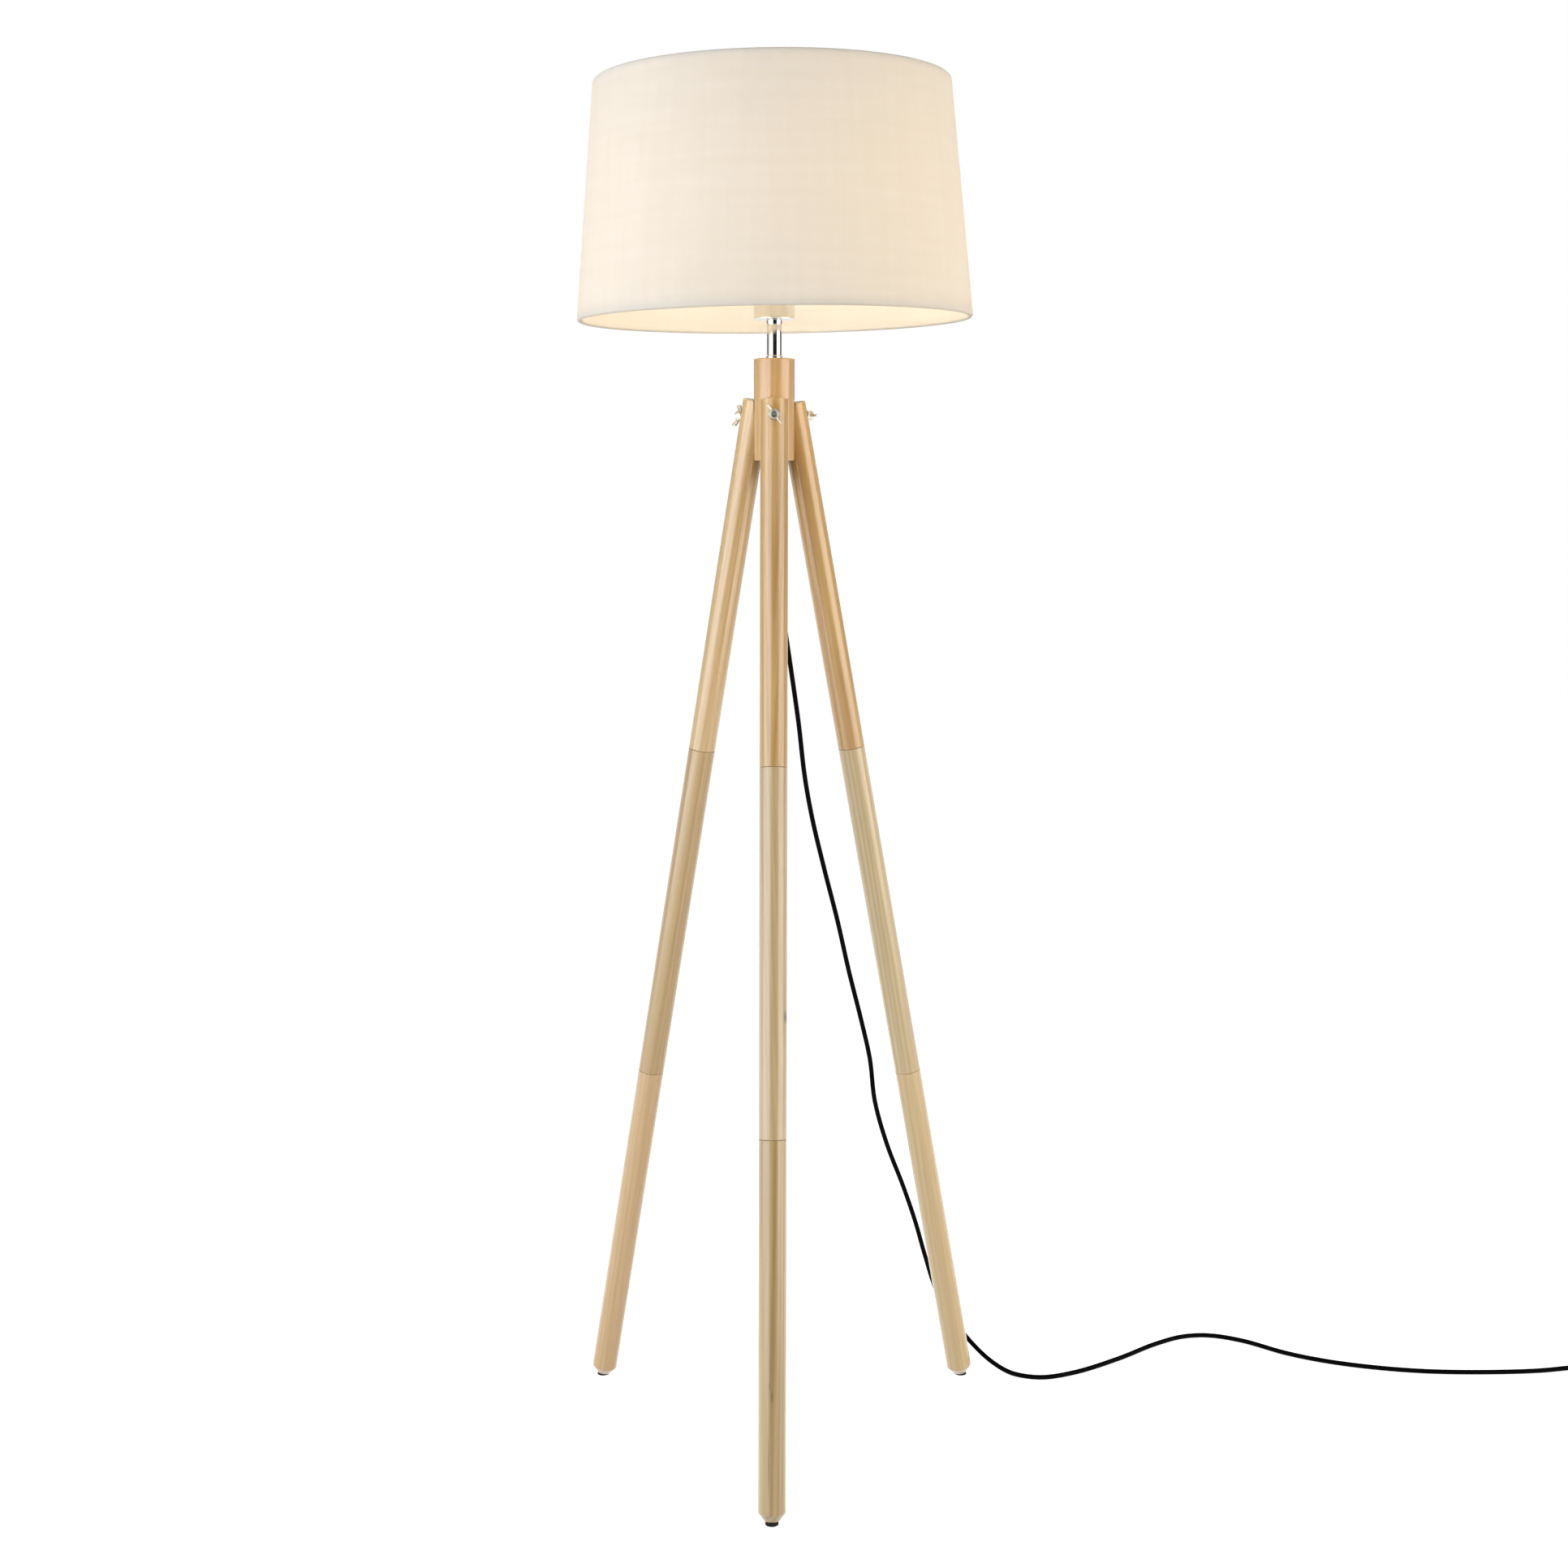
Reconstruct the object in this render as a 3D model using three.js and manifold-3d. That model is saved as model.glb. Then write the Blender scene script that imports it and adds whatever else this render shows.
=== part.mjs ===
// Tripod floor lamp: a turned wooden hub on three jointed round legs, a chromed tube with an E27
// lampholder, and a tapered drum shade. Millimetres, +Z up, floor at z = 0. The front leg points to -Y.
// The origin is the middle of the lamp's footprint box, so the hub's axis stands a little behind it.

import * as THREE from "three";
import { mergeVertices } from "three/addons/utils/BufferGeometryUtils.js";
import Module from "manifold-3d";

// ---------------------------------------------------------------- driving dimensions

const gap = 0.3;                    // left between pieces that touch
const deg = Math.PI / 180;

const hubRadius = 23;
const hubBottom = 1107.5;
const hubTop = 1222.5;
const flatDistance = 17;            // from the hub's axis to each of its three flats
const flatTop = 1176.5;             // the ledge that each leg tucks under
const counterboreRadius = 11;
const counterboreDepth = 18;
const hubEdge = 0.6;                // chamfer round the hub's bottom
const hubRound = 1.2;               // rounding round its top

const legLength = 1197;             // along the leg, from the floor to its top
const legTopRadius = 15.6;
const legFootRadius = 14.65;
const legTopOffset = 22.6;          // from the hub's axis to the middle of a leg's top
const screwRadius = 4;              // double-ended screw that joins two sections
const screwReach = 25;
const sectionEdge = 0.5;            // chamfer where two sections meet
const toeRadius = 8.1;              // the lowest section's chamfered end
const toeHeight = 8.4;
const cutterReach = 60;             // how far a cutting block runs past the wood

// Each leg stands at its own small angle, because its flat and its stud leave it a little play. Its
// three sections meet at the joints, which are given along the leg and differ a little from leg to leg.
const legs = [
  { side: "front", azimuth: -90, foot: [-2.5, -251], joints: [390.5, 786.5], nutTurn: -52 },
  { side: "left", azimuth: 150, foot: [-208, 130.5], joints: [391, 787], nutTurn: 116 },
  { side: "right", azimuth: 30, foot: [226.5, 130.5], joints: [393, 792], nutTurn: 0 },
];

const studHeight = 1159;
const studRadius = 3;
const studStart = 7.5;              // its inner end, from the hub's axis
const studPastNut = 4.2;            // how far it reaches into the nut
const seatRadius = 6.8;
const seatDistance = 40.8;          // from the hub's axis to the washer's seat on the leg
const washerRadius = 6.3;
const washerThickness = 1;
const nutRadius = 5.3;
const nutHeight = 7;
const wingSpan = 27;
const wingThickness = 2.6;

const padRadius = 7;
const padTop = 2.9;                 // along the leg
const padStemRadius = 2.5;
const padStemTop = 17;

const nippleRadius = 5;
const boreRadius = nippleRadius + gap;
const baseRingHeight = 2.9;
const tubeRadius = 8.35;
const tubeBottom = hubTop + gap + baseRingHeight + gap;
const tubeTop = 1260.4;
const tubeWall = 1.2;
const ringRadius = 9.15;            // base ring and collar
const collarFoot = 8.55;            // the collar narrows downwards to this radius
const ringEdge = 0.6;
const nippleBore = 3.5;
const nippleBelow = 6;              // its lower end, above the hub's bottom
const nippleAbove = 9;              // its upper end, above the cup's bottom
const nutAcross = 18;               // the nipple's hexagonal nuts, from corner to corner
const lowerNutHeight = 5;
const upperNutHeight = 4.5;

const cupRadius = 23.25;
const cupBottom = 1266.4;
const cupHeight = 50;
const cupTop = cupBottom + cupHeight;
const cupWall = 0.9;
const cupFloor = 1.2;
const cupCorner = 1;
const skirtRadius = 19.4;
const skirtBore = 15.6;
const skirtInCup = 21.9;            // radius of the part that goes down into the cup
const skirtDepth = 17;
const skirtTop = 1339;
const fitterHeight = 1320.2;        // underside of the shade's fitter ring
const fitterRadius = 33;
const fitterThickness = 1.8;
const clampRadius = 27.5;
const clampHeight = 6.4;
const coreRadius = 21.4;            // ceramic body of the lampholder
const coreHeight = 9;
const coreBossRadius = 14.6;
const coreBossHeight = 3;
const shellRadius = 14.7;           // threaded brass shell
const shellWall = 0.6;
const shellEye = 6;
const contactRadius = 3;
const contactHeight = 3.2;

const capRadius = 13.2;             // E27 bulb cap
const capHeight = 27;
const capTipRadius = 4.6;
const capWall = 0.8;
const capLip = 0.6;
const bulbNeck = 14.4;
const bulbRadius = 30;
const bulbWall = 1;
const bulbCentre = 52;              // the ball's centre, above the neck's lower end
const bulbShoulder = -38 * deg;     // where the neck meets the ball

const shadeBottomRadius = 222.5;
const shadeTopRadius = 201;
const shadeBottom = 1266.4;
const shadeHeight = 264;
const shadeWall = 1;
const shadeTilt = 0.7 * deg;        // the shade hangs a little out of level on its ring
const wireRadius = 1.6;
const wireClearance = 0.2;
const wireHeight = 1.9;             // from the cloth's edge to the middle of a ring wire
const armFootRadius = 31.4;
const armAzimuths = [90, 210, 330];
const shadeSides = 60;

const cordRadius = 2.75;
const cordLevel = cordRadius + 0.1; // centre of a cord that lies on the floor
const glandTip = 1072;
const glandTipRadius = 3.9;
const glandRadius = 6.4;
const glandTaper = 26;
const glandFlangeRadius = 13;
const glandFlange = 2.5;
const glandInHub = 5.6;
const cordInsideTop = cupTop - 26.9; // the cord's end at the ceramic body's terminals
const coilMiddle = 27.5;            // radius at the middle of the cord
const coilTurns = 2.25;
const coilCentre = [1160, 107.5];
const coilEntry = [-13.2, 32.1];    // where the run reaches the coil, from the coil's centre

const switchLength = 72;
const switchWidth = 36;
const switchCentre = [1056, 135];
const switchEntry = 6.6;            // height of the cord where it enters the switch
const switchSplit = 8;              // height of the joint between base and cover
const switchTop = 19;
const switchWall = 2;
const switchEdge = 2.6;
const coverThickness = 2.5;
const buttonRadius = 12;
const buttonFlange = 2;
const buttonRise = 5;
const bootLength = 24;
const bootTipRadius = 3.7;
const bootRadius = 6.2;

const plugLength = 34;
const plugWidth = 26;
const plugThickness = 14;
const plugNeck = 5.2;
const plugShoulder = 14;            // how far along the body it reaches its full width
const plugCorner = 4;
const plugEdge = 2.5;
const plugTail = [31.7, -62];       // the plug's tail end, from the coil's centre
const plugTipRadius = 3.6;
const plugTailRadius = 5;
const plugOverlap = 8;              // how far the tapered tail runs into the body
const pinRadius = 2;
const pinTipRadius = 1.2;
const pinOffset = 9.5;
const pinReach = 19;
const pinDepth = 9;

// The hub's axis stands off the origin, because the footprint box runs from the front leg's toe to
// the back of the shade, and from the left of the shade to the right leg's toe.
const hubX = -7.5;
const hubY = 20;

// ---------------------------------------------------------------- materials

function material(color, roughness, metalness = 0) {
  return new THREE.MeshStandardMaterial({ color, roughness, metalness });
}

const honeyWood = material(0xdcb07e, 0.5);
const paleWood = material(0xd3b98c, 0.5);
const tanWood = material(0xc4a678, 0.5);
const chrome = material(0xdad7d0, 0.08, 1);
const zinc = material(0xb9b7ae, 0.35, 1);
const brass = material(0xc9a45a, 0.35, 1);
const fabric = material(0xf3e9d6, 0.9);
const paintedWire = material(0xf2f0ea, 0.5);
const holderPlastic = material(0xeeeae0, 0.4);
const ceramic = material(0xf4f2ec, 0.3);
const glass = material(0xfff3dc, 0.2);
const rubber = material(0x191919, 0.8);
const blackPlastic = material(0x141414, 0.45);

// ---------------------------------------------------------------- shaping helpers

const wasm = await Module();
wasm.setup();

const root = new THREE.Group();

function add(parent, name, geometry, itsMaterial) {
  const mesh = new THREE.Mesh(geometry, itsMaterial);
  mesh.name = name;
  parent.add(mesh);
  return mesh;
}

// A solid of revolution about Z. The profile is a list of [radius, z], with the material on its left.
function lathe(profile, segments = 24) {
  const points = profile.map(([radius, z]) => new THREE.Vector2(radius, z));
  return new THREE.LatheGeometry(points, segments).rotateX(Math.PI / 2);
}

function rod(radius, z0, z1, segments = 12) {
  return lathe([[0, z0], [radius, z0], [radius, z1], [0, z1]], segments);
}

function ring(inner, outer, z0, z1, segments = 24) {
  return lathe([[inner, z0], [outer, z0], [outer, z1], [inner, z1], [inner, z0]], segments);
}

function box(width, depth, height, x, y, z) {
  return new THREE.BoxGeometry(width, depth, height).translate(x, y, z);
}

function toSolid(geometry) {
  const bare = geometry.clone();
  bare.deleteAttribute("normal");
  bare.deleteAttribute("uv");
  const merged = mergeVertices(bare, 1e-4);
  const index = merged.index.array;
  const triVerts = [];
  for (let i = 0; i < index.length; i += 3) {
    const [a, b, c] = [index[i], index[i + 1], index[i + 2]];
    if (a !== b && b !== c && c !== a) triVerts.push(a, b, c);
  }
  const vertProperties = new Float32Array(merged.attributes.position.array);
  const mesh = new wasm.Mesh({ numProp: 3, vertProperties, triVerts: Uint32Array.from(triVerts) });
  return new wasm.Manifold(mesh);
}

function toGeometry(solid) {
  const mesh = solid.getMesh();
  const geometry = new THREE.BufferGeometry();
  geometry.setAttribute("position", new THREE.BufferAttribute(mesh.vertProperties, 3));
  geometry.setIndex(new THREE.BufferAttribute(mesh.triVerts, 1));
  geometry.computeVertexNormals();
  return geometry;
}

function cut(geometry, ...cutters) {
  let solid = toSolid(geometry);
  for (const cutter of cutters) solid = solid.subtract(toSolid(cutter));
  return toGeometry(solid);
}

function join(...geometries) {
  let solid = toSolid(geometries[0]);
  for (const geometry of geometries.slice(1)) solid = solid.add(toSolid(geometry));
  return toGeometry(solid);
}

// A frame at a height on the hub's axis: local Z points outward along the azimuth, local Y up.
function outwardMatrix(azimuth, height) {
  const outward = new THREE.Vector3(Math.cos(azimuth), Math.sin(azimuth), 0);
  const up = new THREE.Vector3(0, 0, 1);
  const tangent = new THREE.Vector3(-Math.sin(azimuth), Math.cos(azimuth), 0);
  return new THREE.Matrix4().makeBasis(tangent, up, outward).setPosition(0, 0, height);
}

// A round tube along a smooth curve through the points.
function tubeAlong(points, radius, sides, steps) {
  const section = new THREE.Shape();
  for (let i = 0; i < sides; i++) {
    const angle = (2 * Math.PI * i) / sides;
    const [x, y] = [radius * Math.cos(angle), radius * Math.sin(angle)];
    if (i === 0) section.moveTo(x, y);
    else section.lineTo(x, y);
  }
  section.closePath();
  const path = new THREE.CatmullRomCurve3(points.map((p) => new THREE.Vector3(...p)), false, "centripetal");
  return new THREE.ExtrudeGeometry(section, { steps, bevelEnabled: false, extrudePath: path });
}

function stadium(length, width) {
  const radius = width / 2;
  const half = length / 2 - radius;
  const shape = new THREE.Shape();
  shape.absarc(half, 0, radius, -Math.PI / 2, Math.PI / 2, false);
  shape.absarc(-half, 0, radius, Math.PI / 2, 1.5 * Math.PI, false);
  shape.closePath();
  return shape;
}

function extruded(shape, z0, z1, bevel = 0) {
  const settings = {
    depth: z1 - z0 - 2 * bevel,
    curveSegments: 6,
    bevelEnabled: bevel > 0,
    bevelThickness: bevel,
    bevelSize: bevel,
    bevelOffset: -bevel,
    bevelSegments: 2,
  };
  return new THREE.ExtrudeGeometry(shape, settings).translate(0, 0, z0 + bevel);
}

// A convex edge rounded by an arc, as profile points from the wall up to the top face.
function roundedEdge(radius, top, round, steps = 3) {
  return Array.from({ length: steps + 1 }, (_, i) => {
    const angle = (i / steps) * (Math.PI / 2);
    return [radius - round * (1 - Math.cos(angle)), top - round * (1 - Math.sin(angle))];
  });
}

// ---------------------------------------------------------------- hub

const lamp = new THREE.Group();
lamp.position.set(hubX, hubY, 0);
root.add(lamp);

function makeHub() {
  const step = hubBottom + counterboreDepth;
  const body = lathe([
    [boreRadius, step],
    [counterboreRadius, step],
    [counterboreRadius, hubBottom],
    [hubRadius - hubEdge, hubBottom],
    [hubRadius, hubBottom + hubEdge],
    ...roundedEdge(hubRadius, hubTop, hubRound),
    [boreRadius, hubTop],
    [boreRadius, step],
  ], 36);
  const cutters = [];
  for (const { azimuth } of legs) {
    const frame = outwardMatrix(azimuth * deg, 0);
    const depth = hubRadius;
    const height = flatTop - hubBottom + cutterReach;
    const middle = flatTop - height / 2;
    const flat = box(cutterReach, height, depth, 0, middle, flatDistance + depth / 2);
    cutters.push(flat.applyMatrix4(frame));
    const hole = rod(studRadius + gap, studStart - gap, flatDistance + 1);
    cutters.push(hole.applyMatrix4(outwardMatrix(azimuth * deg, studHeight)));
  }
  add(lamp, "hub", cut(body, ...cutters), honeyWood);
}

// ---------------------------------------------------------------- legs

function legRadius(s) {
  return legFootRadius + ((legTopRadius - legFootRadius) * s) / legLength;
}

// The leg's own frame: origin where its axis meets the floor, local Z up along the leg.
function legMatrix({ azimuth, foot }) {
  const top = [legTopOffset * Math.cos(azimuth * deg), legTopOffset * Math.sin(azimuth * deg)];
  const spread = Math.hypot(foot[0] - top[0], foot[1] - top[1]);
  const rise = Math.sqrt(legLength ** 2 - spread ** 2);
  const along = new THREE.Vector3(top[0] - foot[0], top[1] - foot[1], rise).normalize();
  const outward = new THREE.Vector3(Math.cos(azimuth * deg), Math.sin(azimuth * deg), 0);
  const side = new THREE.Vector3().crossVectors(along, outward).normalize();
  const front = new THREE.Vector3().crossVectors(side, along);
  return new THREE.Matrix4().makeBasis(front, side, along).setPosition(foot[0], foot[1], 0);
}

const boreDepth = screwReach + 1;

function boreBelow(s, radius, depth) {
  return [[0, s + depth], [radius, s + depth], [radius, s]];
}

function boreAbove(s, radius, depth) {
  return [[radius, s], [radius, s - depth], [0, s - depth]];
}

function sectionWall(from, to) {
  return [
    [legRadius(from) - sectionEdge, from],
    [legRadius(from), from + sectionEdge],
    [legRadius(to), to - sectionEdge],
    [legRadius(to) - sectionEdge, to],
  ];
}

function lowerSection(leg) {
  const bottom = padTop + gap;
  const top = leg.joints[0] - gap / 2;
  const radius = screwRadius + gap;
  const stemBore = boreBelow(bottom, padStemRadius + gap, padStemTop + 1 - bottom);
  const toe = [[toeRadius, bottom], [legRadius(bottom + toeHeight), bottom + toeHeight]];
  const wall = sectionWall(bottom, top).slice(2);
  return lathe([...stemBore, ...toe, ...wall, ...boreAbove(top, radius, boreDepth)], 20);
}

function middleSection(leg) {
  const bottom = leg.joints[0] + gap / 2;
  const top = leg.joints[1] - gap / 2;
  const radius = screwRadius + gap;
  const profile = [...boreBelow(bottom, radius, boreDepth), ...sectionWall(bottom, top)];
  return lathe([...profile, ...boreAbove(top, radius, boreDepth)], 20);
}

function upperSection(leg, toLeg) {
  const bottom = leg.joints[1] + gap / 2;
  const radius = screwRadius + gap;
  const wall = sectionWall(bottom, legLength);
  const body = lathe([...boreBelow(bottom, radius, boreDepth), ...wall, [0, legLength]], 20);
  const azimuth = leg.azimuth * deg;
  const face = flatDistance + gap;
  const flat = box(cutterReach, 2 * cutterReach, cutterReach, 0, studHeight, face - cutterReach / 2);
  const hole = rod(studRadius + gap, 0, cutterReach);
  const seat = rod(seatRadius, seatDistance, cutterReach, 20);
  return cut(
    body,
    flat.applyMatrix4(outwardMatrix(azimuth, 0)).applyMatrix4(toLeg),
    hole.applyMatrix4(outwardMatrix(azimuth, studHeight)).applyMatrix4(toLeg),
    seat.applyMatrix4(outwardMatrix(azimuth, studHeight)).applyMatrix4(toLeg),
  );
}

function footPad(toLeg) {
  const below = -padRadius / 2;
  const disc = [[0, below], [padRadius, below], [padRadius, padTop]];
  const stem = [[padStemRadius, padTop], [padStemRadius, padStemTop], [0, padStemTop]];
  const pad = lathe([...disc, ...stem], 16);
  const floor = box(cutterReach, cutterReach, cutterReach, 0, 0, -cutterReach / 2);
  return cut(pad, floor.translate(toLeg.foot[0], toLeg.foot[1], 0).applyMatrix4(toLeg.inverse));
}

function makeLeg(leg) {
  const matrix = legMatrix(leg);
  const inverse = matrix.clone().invert();
  const group = new THREE.Group();
  matrix.decompose(group.position, group.quaternion, group.scale);
  lamp.add(group);
  add(group, `leg_${leg.side}_upper`, upperSection(leg, inverse), honeyWood);
  add(group, `leg_${leg.side}_middle`, middleSection(leg), paleWood);
  add(group, `leg_${leg.side}_lower`, lowerSection(leg), tanWood);
  const jointNames = ["lower", "upper"];
  leg.joints.forEach((height, i) => {
    const screw = rod(screwRadius, height - screwReach, height + screwReach, 12);
    add(group, `joint_screw_${leg.side}_${jointNames[i]}`, screw, zinc);
  });
  add(group, `foot_pad_${leg.side}`, footPad({ foot: leg.foot, inverse }), rubber);
}

// ---------------------------------------------------------------- studs, washers and wing nuts

function wingBlade(side) {
  const root = 3.9;
  const tip = wingSpan / 2;
  const blade = new THREE.Shape();
  blade.moveTo(root, 0.8);
  blade.quadraticCurveTo(tip - 3, 2.2, tip, 5.2);
  blade.lineTo(tip, 8);
  blade.quadraticCurveTo(tip - 0.5, nutHeight + 2.6, tip - 3, nutHeight + 2);
  blade.quadraticCurveTo(root + 3.6, nutHeight - 0.6, root, nutHeight - 0.8);
  blade.closePath();
  const plate = new THREE.ExtrudeGeometry(blade, {
    depth: wingThickness,
    bevelEnabled: false,
    curveSegments: 4,
  });
  plate.translate(0, 0, -wingThickness / 2).rotateX(Math.PI / 2);
  return side < 0 ? plate.rotateZ(Math.PI) : plate;
}

function wingNut() {
  const bore = studRadius + gap;
  const lip = roundedEdge(nutRadius, nutHeight, 1, 2);
  const barrel = lathe([[bore, 0], [nutRadius, 0], ...lip, [bore, nutHeight], [bore, 0]], 16);
  return join(barrel, wingBlade(1), wingBlade(-1));
}

function makeLegFastening({ side, azimuth, nutTurn }) {
  const holder = new THREE.Group();
  outwardMatrix(azimuth * deg, studHeight).decompose(holder.position, holder.quaternion, holder.scale);
  lamp.add(holder);
  const washerTop = seatDistance + gap + washerThickness;
  const nutBase = washerTop + gap;
  add(holder, `stud_${side}`, rod(studRadius, studStart, nutBase + studPastNut), zinc);
  const disc = ring(studRadius + gap, washerRadius, 0, washerThickness, 16);
  const washer = add(holder, `washer_${side}`, disc, zinc);
  washer.position.z = seatDistance + gap;
  const nut = add(holder, `wing_nut_${side}`, wingNut(), zinc);
  nut.position.z = nutBase;
  nut.rotation.z = nutTurn * deg;
}

// ---------------------------------------------------------------- tube and its fittings

function hexNut(z, height) {
  return cut(rod(nutAcross / 2, z, z + height, 6), rod(boreRadius, z - 1, z + height + 1, 16));
}

function makeStem() {
  const ringBottom = hubTop + gap;
  const ringTop = ringBottom + baseRingHeight;
  add(lamp, "base_ring", lathe([
    [boreRadius, ringBottom],
    [ringRadius, ringBottom],
    [ringRadius, ringTop - ringEdge],
    [ringRadius - ringEdge, ringTop],
    [boreRadius, ringTop],
    [boreRadius, ringBottom],
  ]), chrome);
  add(lamp, "tube", ring(tubeRadius - tubeWall, tubeRadius, tubeBottom, tubeTop), chrome);
  const collarBottom = tubeTop + gap;
  const collarTop = cupBottom - gap;
  add(lamp, "collar", lathe([
    [boreRadius, collarBottom],
    [collarFoot, collarBottom],
    [ringRadius, collarTop - ringEdge],
    [ringRadius - ringEdge, collarTop],
    [boreRadius, collarTop],
    [boreRadius, collarBottom],
  ]), chrome);
  const nippleEnds = [hubBottom + nippleBelow, cupBottom + nippleAbove];
  add(lamp, "nipple", ring(nippleBore, nippleRadius, ...nippleEnds, 16), zinc);
  const lowerNut = hubBottom + counterboreDepth - gap - lowerNutHeight;
  add(lamp, "nipple_nut_lower", hexNut(lowerNut, lowerNutHeight), zinc);
  add(lamp, "nipple_nut_upper", hexNut(cupBottom + cupFloor + gap, upperNutHeight), zinc);
}

// ---------------------------------------------------------------- lampholder and bulb

function makeHolder() {
  const floorTop = cupBottom + cupFloor;
  const corner = roundedEdge(cupRadius, -cupBottom, cupCorner).map(([radius, z]) => [radius, -z]);
  add(lamp, "holder_cup", lathe([
    [boreRadius, floorTop],
    [boreRadius, cupBottom],
    ...corner.reverse(),
    [cupRadius, cupTop],
    [cupRadius - cupWall, cupTop],
    [cupRadius - cupWall, floorTop],
    [boreRadius, floorTop],
  ], 28), chrome);
  const skirtBase = cupTop - skirtDepth;
  const flangeTop = fitterHeight - 0.7;
  add(lamp, "holder_skirt", lathe([
    [skirtBore, skirtBase],
    [skirtInCup, skirtBase],
    [skirtInCup, cupTop + gap],
    [cupRadius, cupTop + gap],
    [cupRadius, flangeTop],
    [skirtRadius, flangeTop],
    [skirtRadius, skirtTop],
    [skirtBore, skirtTop],
    [skirtBore, skirtBase],
  ], 28), holderPlastic);
  const coreTop = skirtBase - gap;
  add(lamp, "holder_core", lathe([
    [0, coreTop - coreHeight],
    [coreRadius, coreTop - coreHeight],
    [coreRadius, coreTop],
    [coreBossRadius, coreTop],
    [coreBossRadius, coreTop + coreBossHeight],
    [0, coreTop + coreBossHeight],
  ]), ceramic);
  const shellBottom = coreTop + coreBossHeight + gap;
  const shellTop = skirtTop - 8;
  add(lamp, "screw_shell", lathe([
    [shellEye, shellBottom],
    [shellRadius, shellBottom],
    [shellRadius, shellTop],
    [shellRadius - shellWall, shellTop],
    [shellRadius - shellWall, shellBottom + shellWall],
    [shellEye, shellBottom + shellWall],
    [shellEye, shellBottom],
  ]), brass);
  const contactTop = shellBottom + contactHeight;
  add(lamp, "centre_contact", rod(contactRadius, shellBottom, contactTop, 12), brass);
  const capBottom = contactTop + gap;
  const capTop = capBottom + capHeight;
  const shoulder = capBottom + 4.4;
  add(lamp, "bulb_cap", lathe([
    [0, capBottom],
    [capTipRadius, capBottom],
    [capTipRadius + 1, capBottom + 1],
    [capRadius, shoulder],
    [capRadius, capTop - 1],
    [capRadius + capLip, capTop],
    [capRadius + capLip - capWall, capTop],
    [capRadius - capWall, capTop - 1],
    [capRadius - capWall, shoulder + capWall],
    [0, shoulder + capWall],
  ], 20), zinc);
  add(lamp, "bulb_glass", bulbGlass(capTop + gap), glass);
}

// A pear-shaped envelope: a neck that swells into a ball, open at the neck.
function envelope(neckRadius, ballRadius, neckBottom) {
  const ballCentre = neckBottom + bulbCentre;
  const arcSteps = 7;
  const points = [[neckRadius, neckBottom], [neckRadius + 0.8, neckBottom + 8]];
  points.push([neckRadius + 6, neckBottom + 24]);
  for (let i = 0; i < arcSteps; i++) {
    const angle = bulbShoulder + ((Math.PI / 2 - bulbShoulder) * i) / arcSteps;
    points.push([ballRadius * Math.cos(angle), ballCentre + ballRadius * Math.sin(angle)]);
  }
  points.push([0, ballCentre + ballRadius]);
  return points;
}

function bulbGlass(neckBottom) {
  const inner = envelope(bulbNeck - bulbWall, bulbRadius - bulbWall, neckBottom);
  return lathe([...inner.reverse(), ...envelope(bulbNeck, bulbRadius, neckBottom)], 24);
}

// ---------------------------------------------------------------- shade

function makeShade() {
  const clampBottom = fitterHeight + fitterThickness + 0.8;
  const clampTop = clampBottom + clampHeight;
  add(lamp, "shade_clamp_ring", lathe([
    [skirtRadius + gap, clampBottom],
    [clampRadius - 0.5, clampBottom],
    [clampRadius, clampBottom + 0.8],
    [clampRadius, clampTop],
    [skirtRadius + gap, clampTop],
    [skirtRadius + gap, clampBottom],
  ], 28), holderPlastic);

  const shade = new THREE.Group();
  shade.position.z = fitterHeight;
  shade.rotation.y = -shadeTilt;
  lamp.add(shade);
  const bottom = shadeBottom - fitterHeight;
  const top = bottom + shadeHeight;
  add(shade, "shade_skin", lathe([
    [shadeBottomRadius - shadeWall, bottom],
    [shadeBottomRadius, bottom],
    [shadeTopRadius, top],
    [shadeTopRadius - shadeWall, top],
    [shadeBottomRadius - shadeWall, bottom],
  ], shadeSides), fabric);

  const inset = shadeWall + gap + wireRadius + wireClearance;
  const lowerWire = new THREE.TorusGeometry(shadeBottomRadius - inset, wireRadius, 6, shadeSides);
  add(shade, "shade_lower_ring", lowerWire.translate(0, 0, bottom + wireHeight), paintedWire);

  const ringCentre = shadeTopRadius - inset;
  const ringHeight = top - wireHeight;
  const upperWire = new THREE.TorusGeometry(ringCentre, wireRadius, 6, shadeSides);
  const pieces = [upperWire.translate(0, 0, ringHeight)];
  const fitterInner = skirtRadius + 1.2;
  pieces.push(ring(fitterInner, fitterRadius, 0, fitterThickness, 28));
  const armFoot = new THREE.Vector3(armFootRadius, 0, fitterThickness / 2);
  const armHead = new THREE.Vector3(ringCentre, 0, ringHeight);
  const arm = new THREE.Vector3().subVectors(armHead, armFoot);
  const lean = Math.atan2(arm.x, arm.z);
  for (const azimuth of armAzimuths) {
    const wire = rod(wireRadius, 0, arm.length(), 6).rotateY(lean);
    wire.translate(armFoot.x, armFoot.y, armFoot.z).rotateZ(azimuth * deg);
    pieces.push(wire);
  }
  add(shade, "shade_frame", join(...pieces), paintedWire);
}

// ---------------------------------------------------------------- cord, switch and plug

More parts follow.
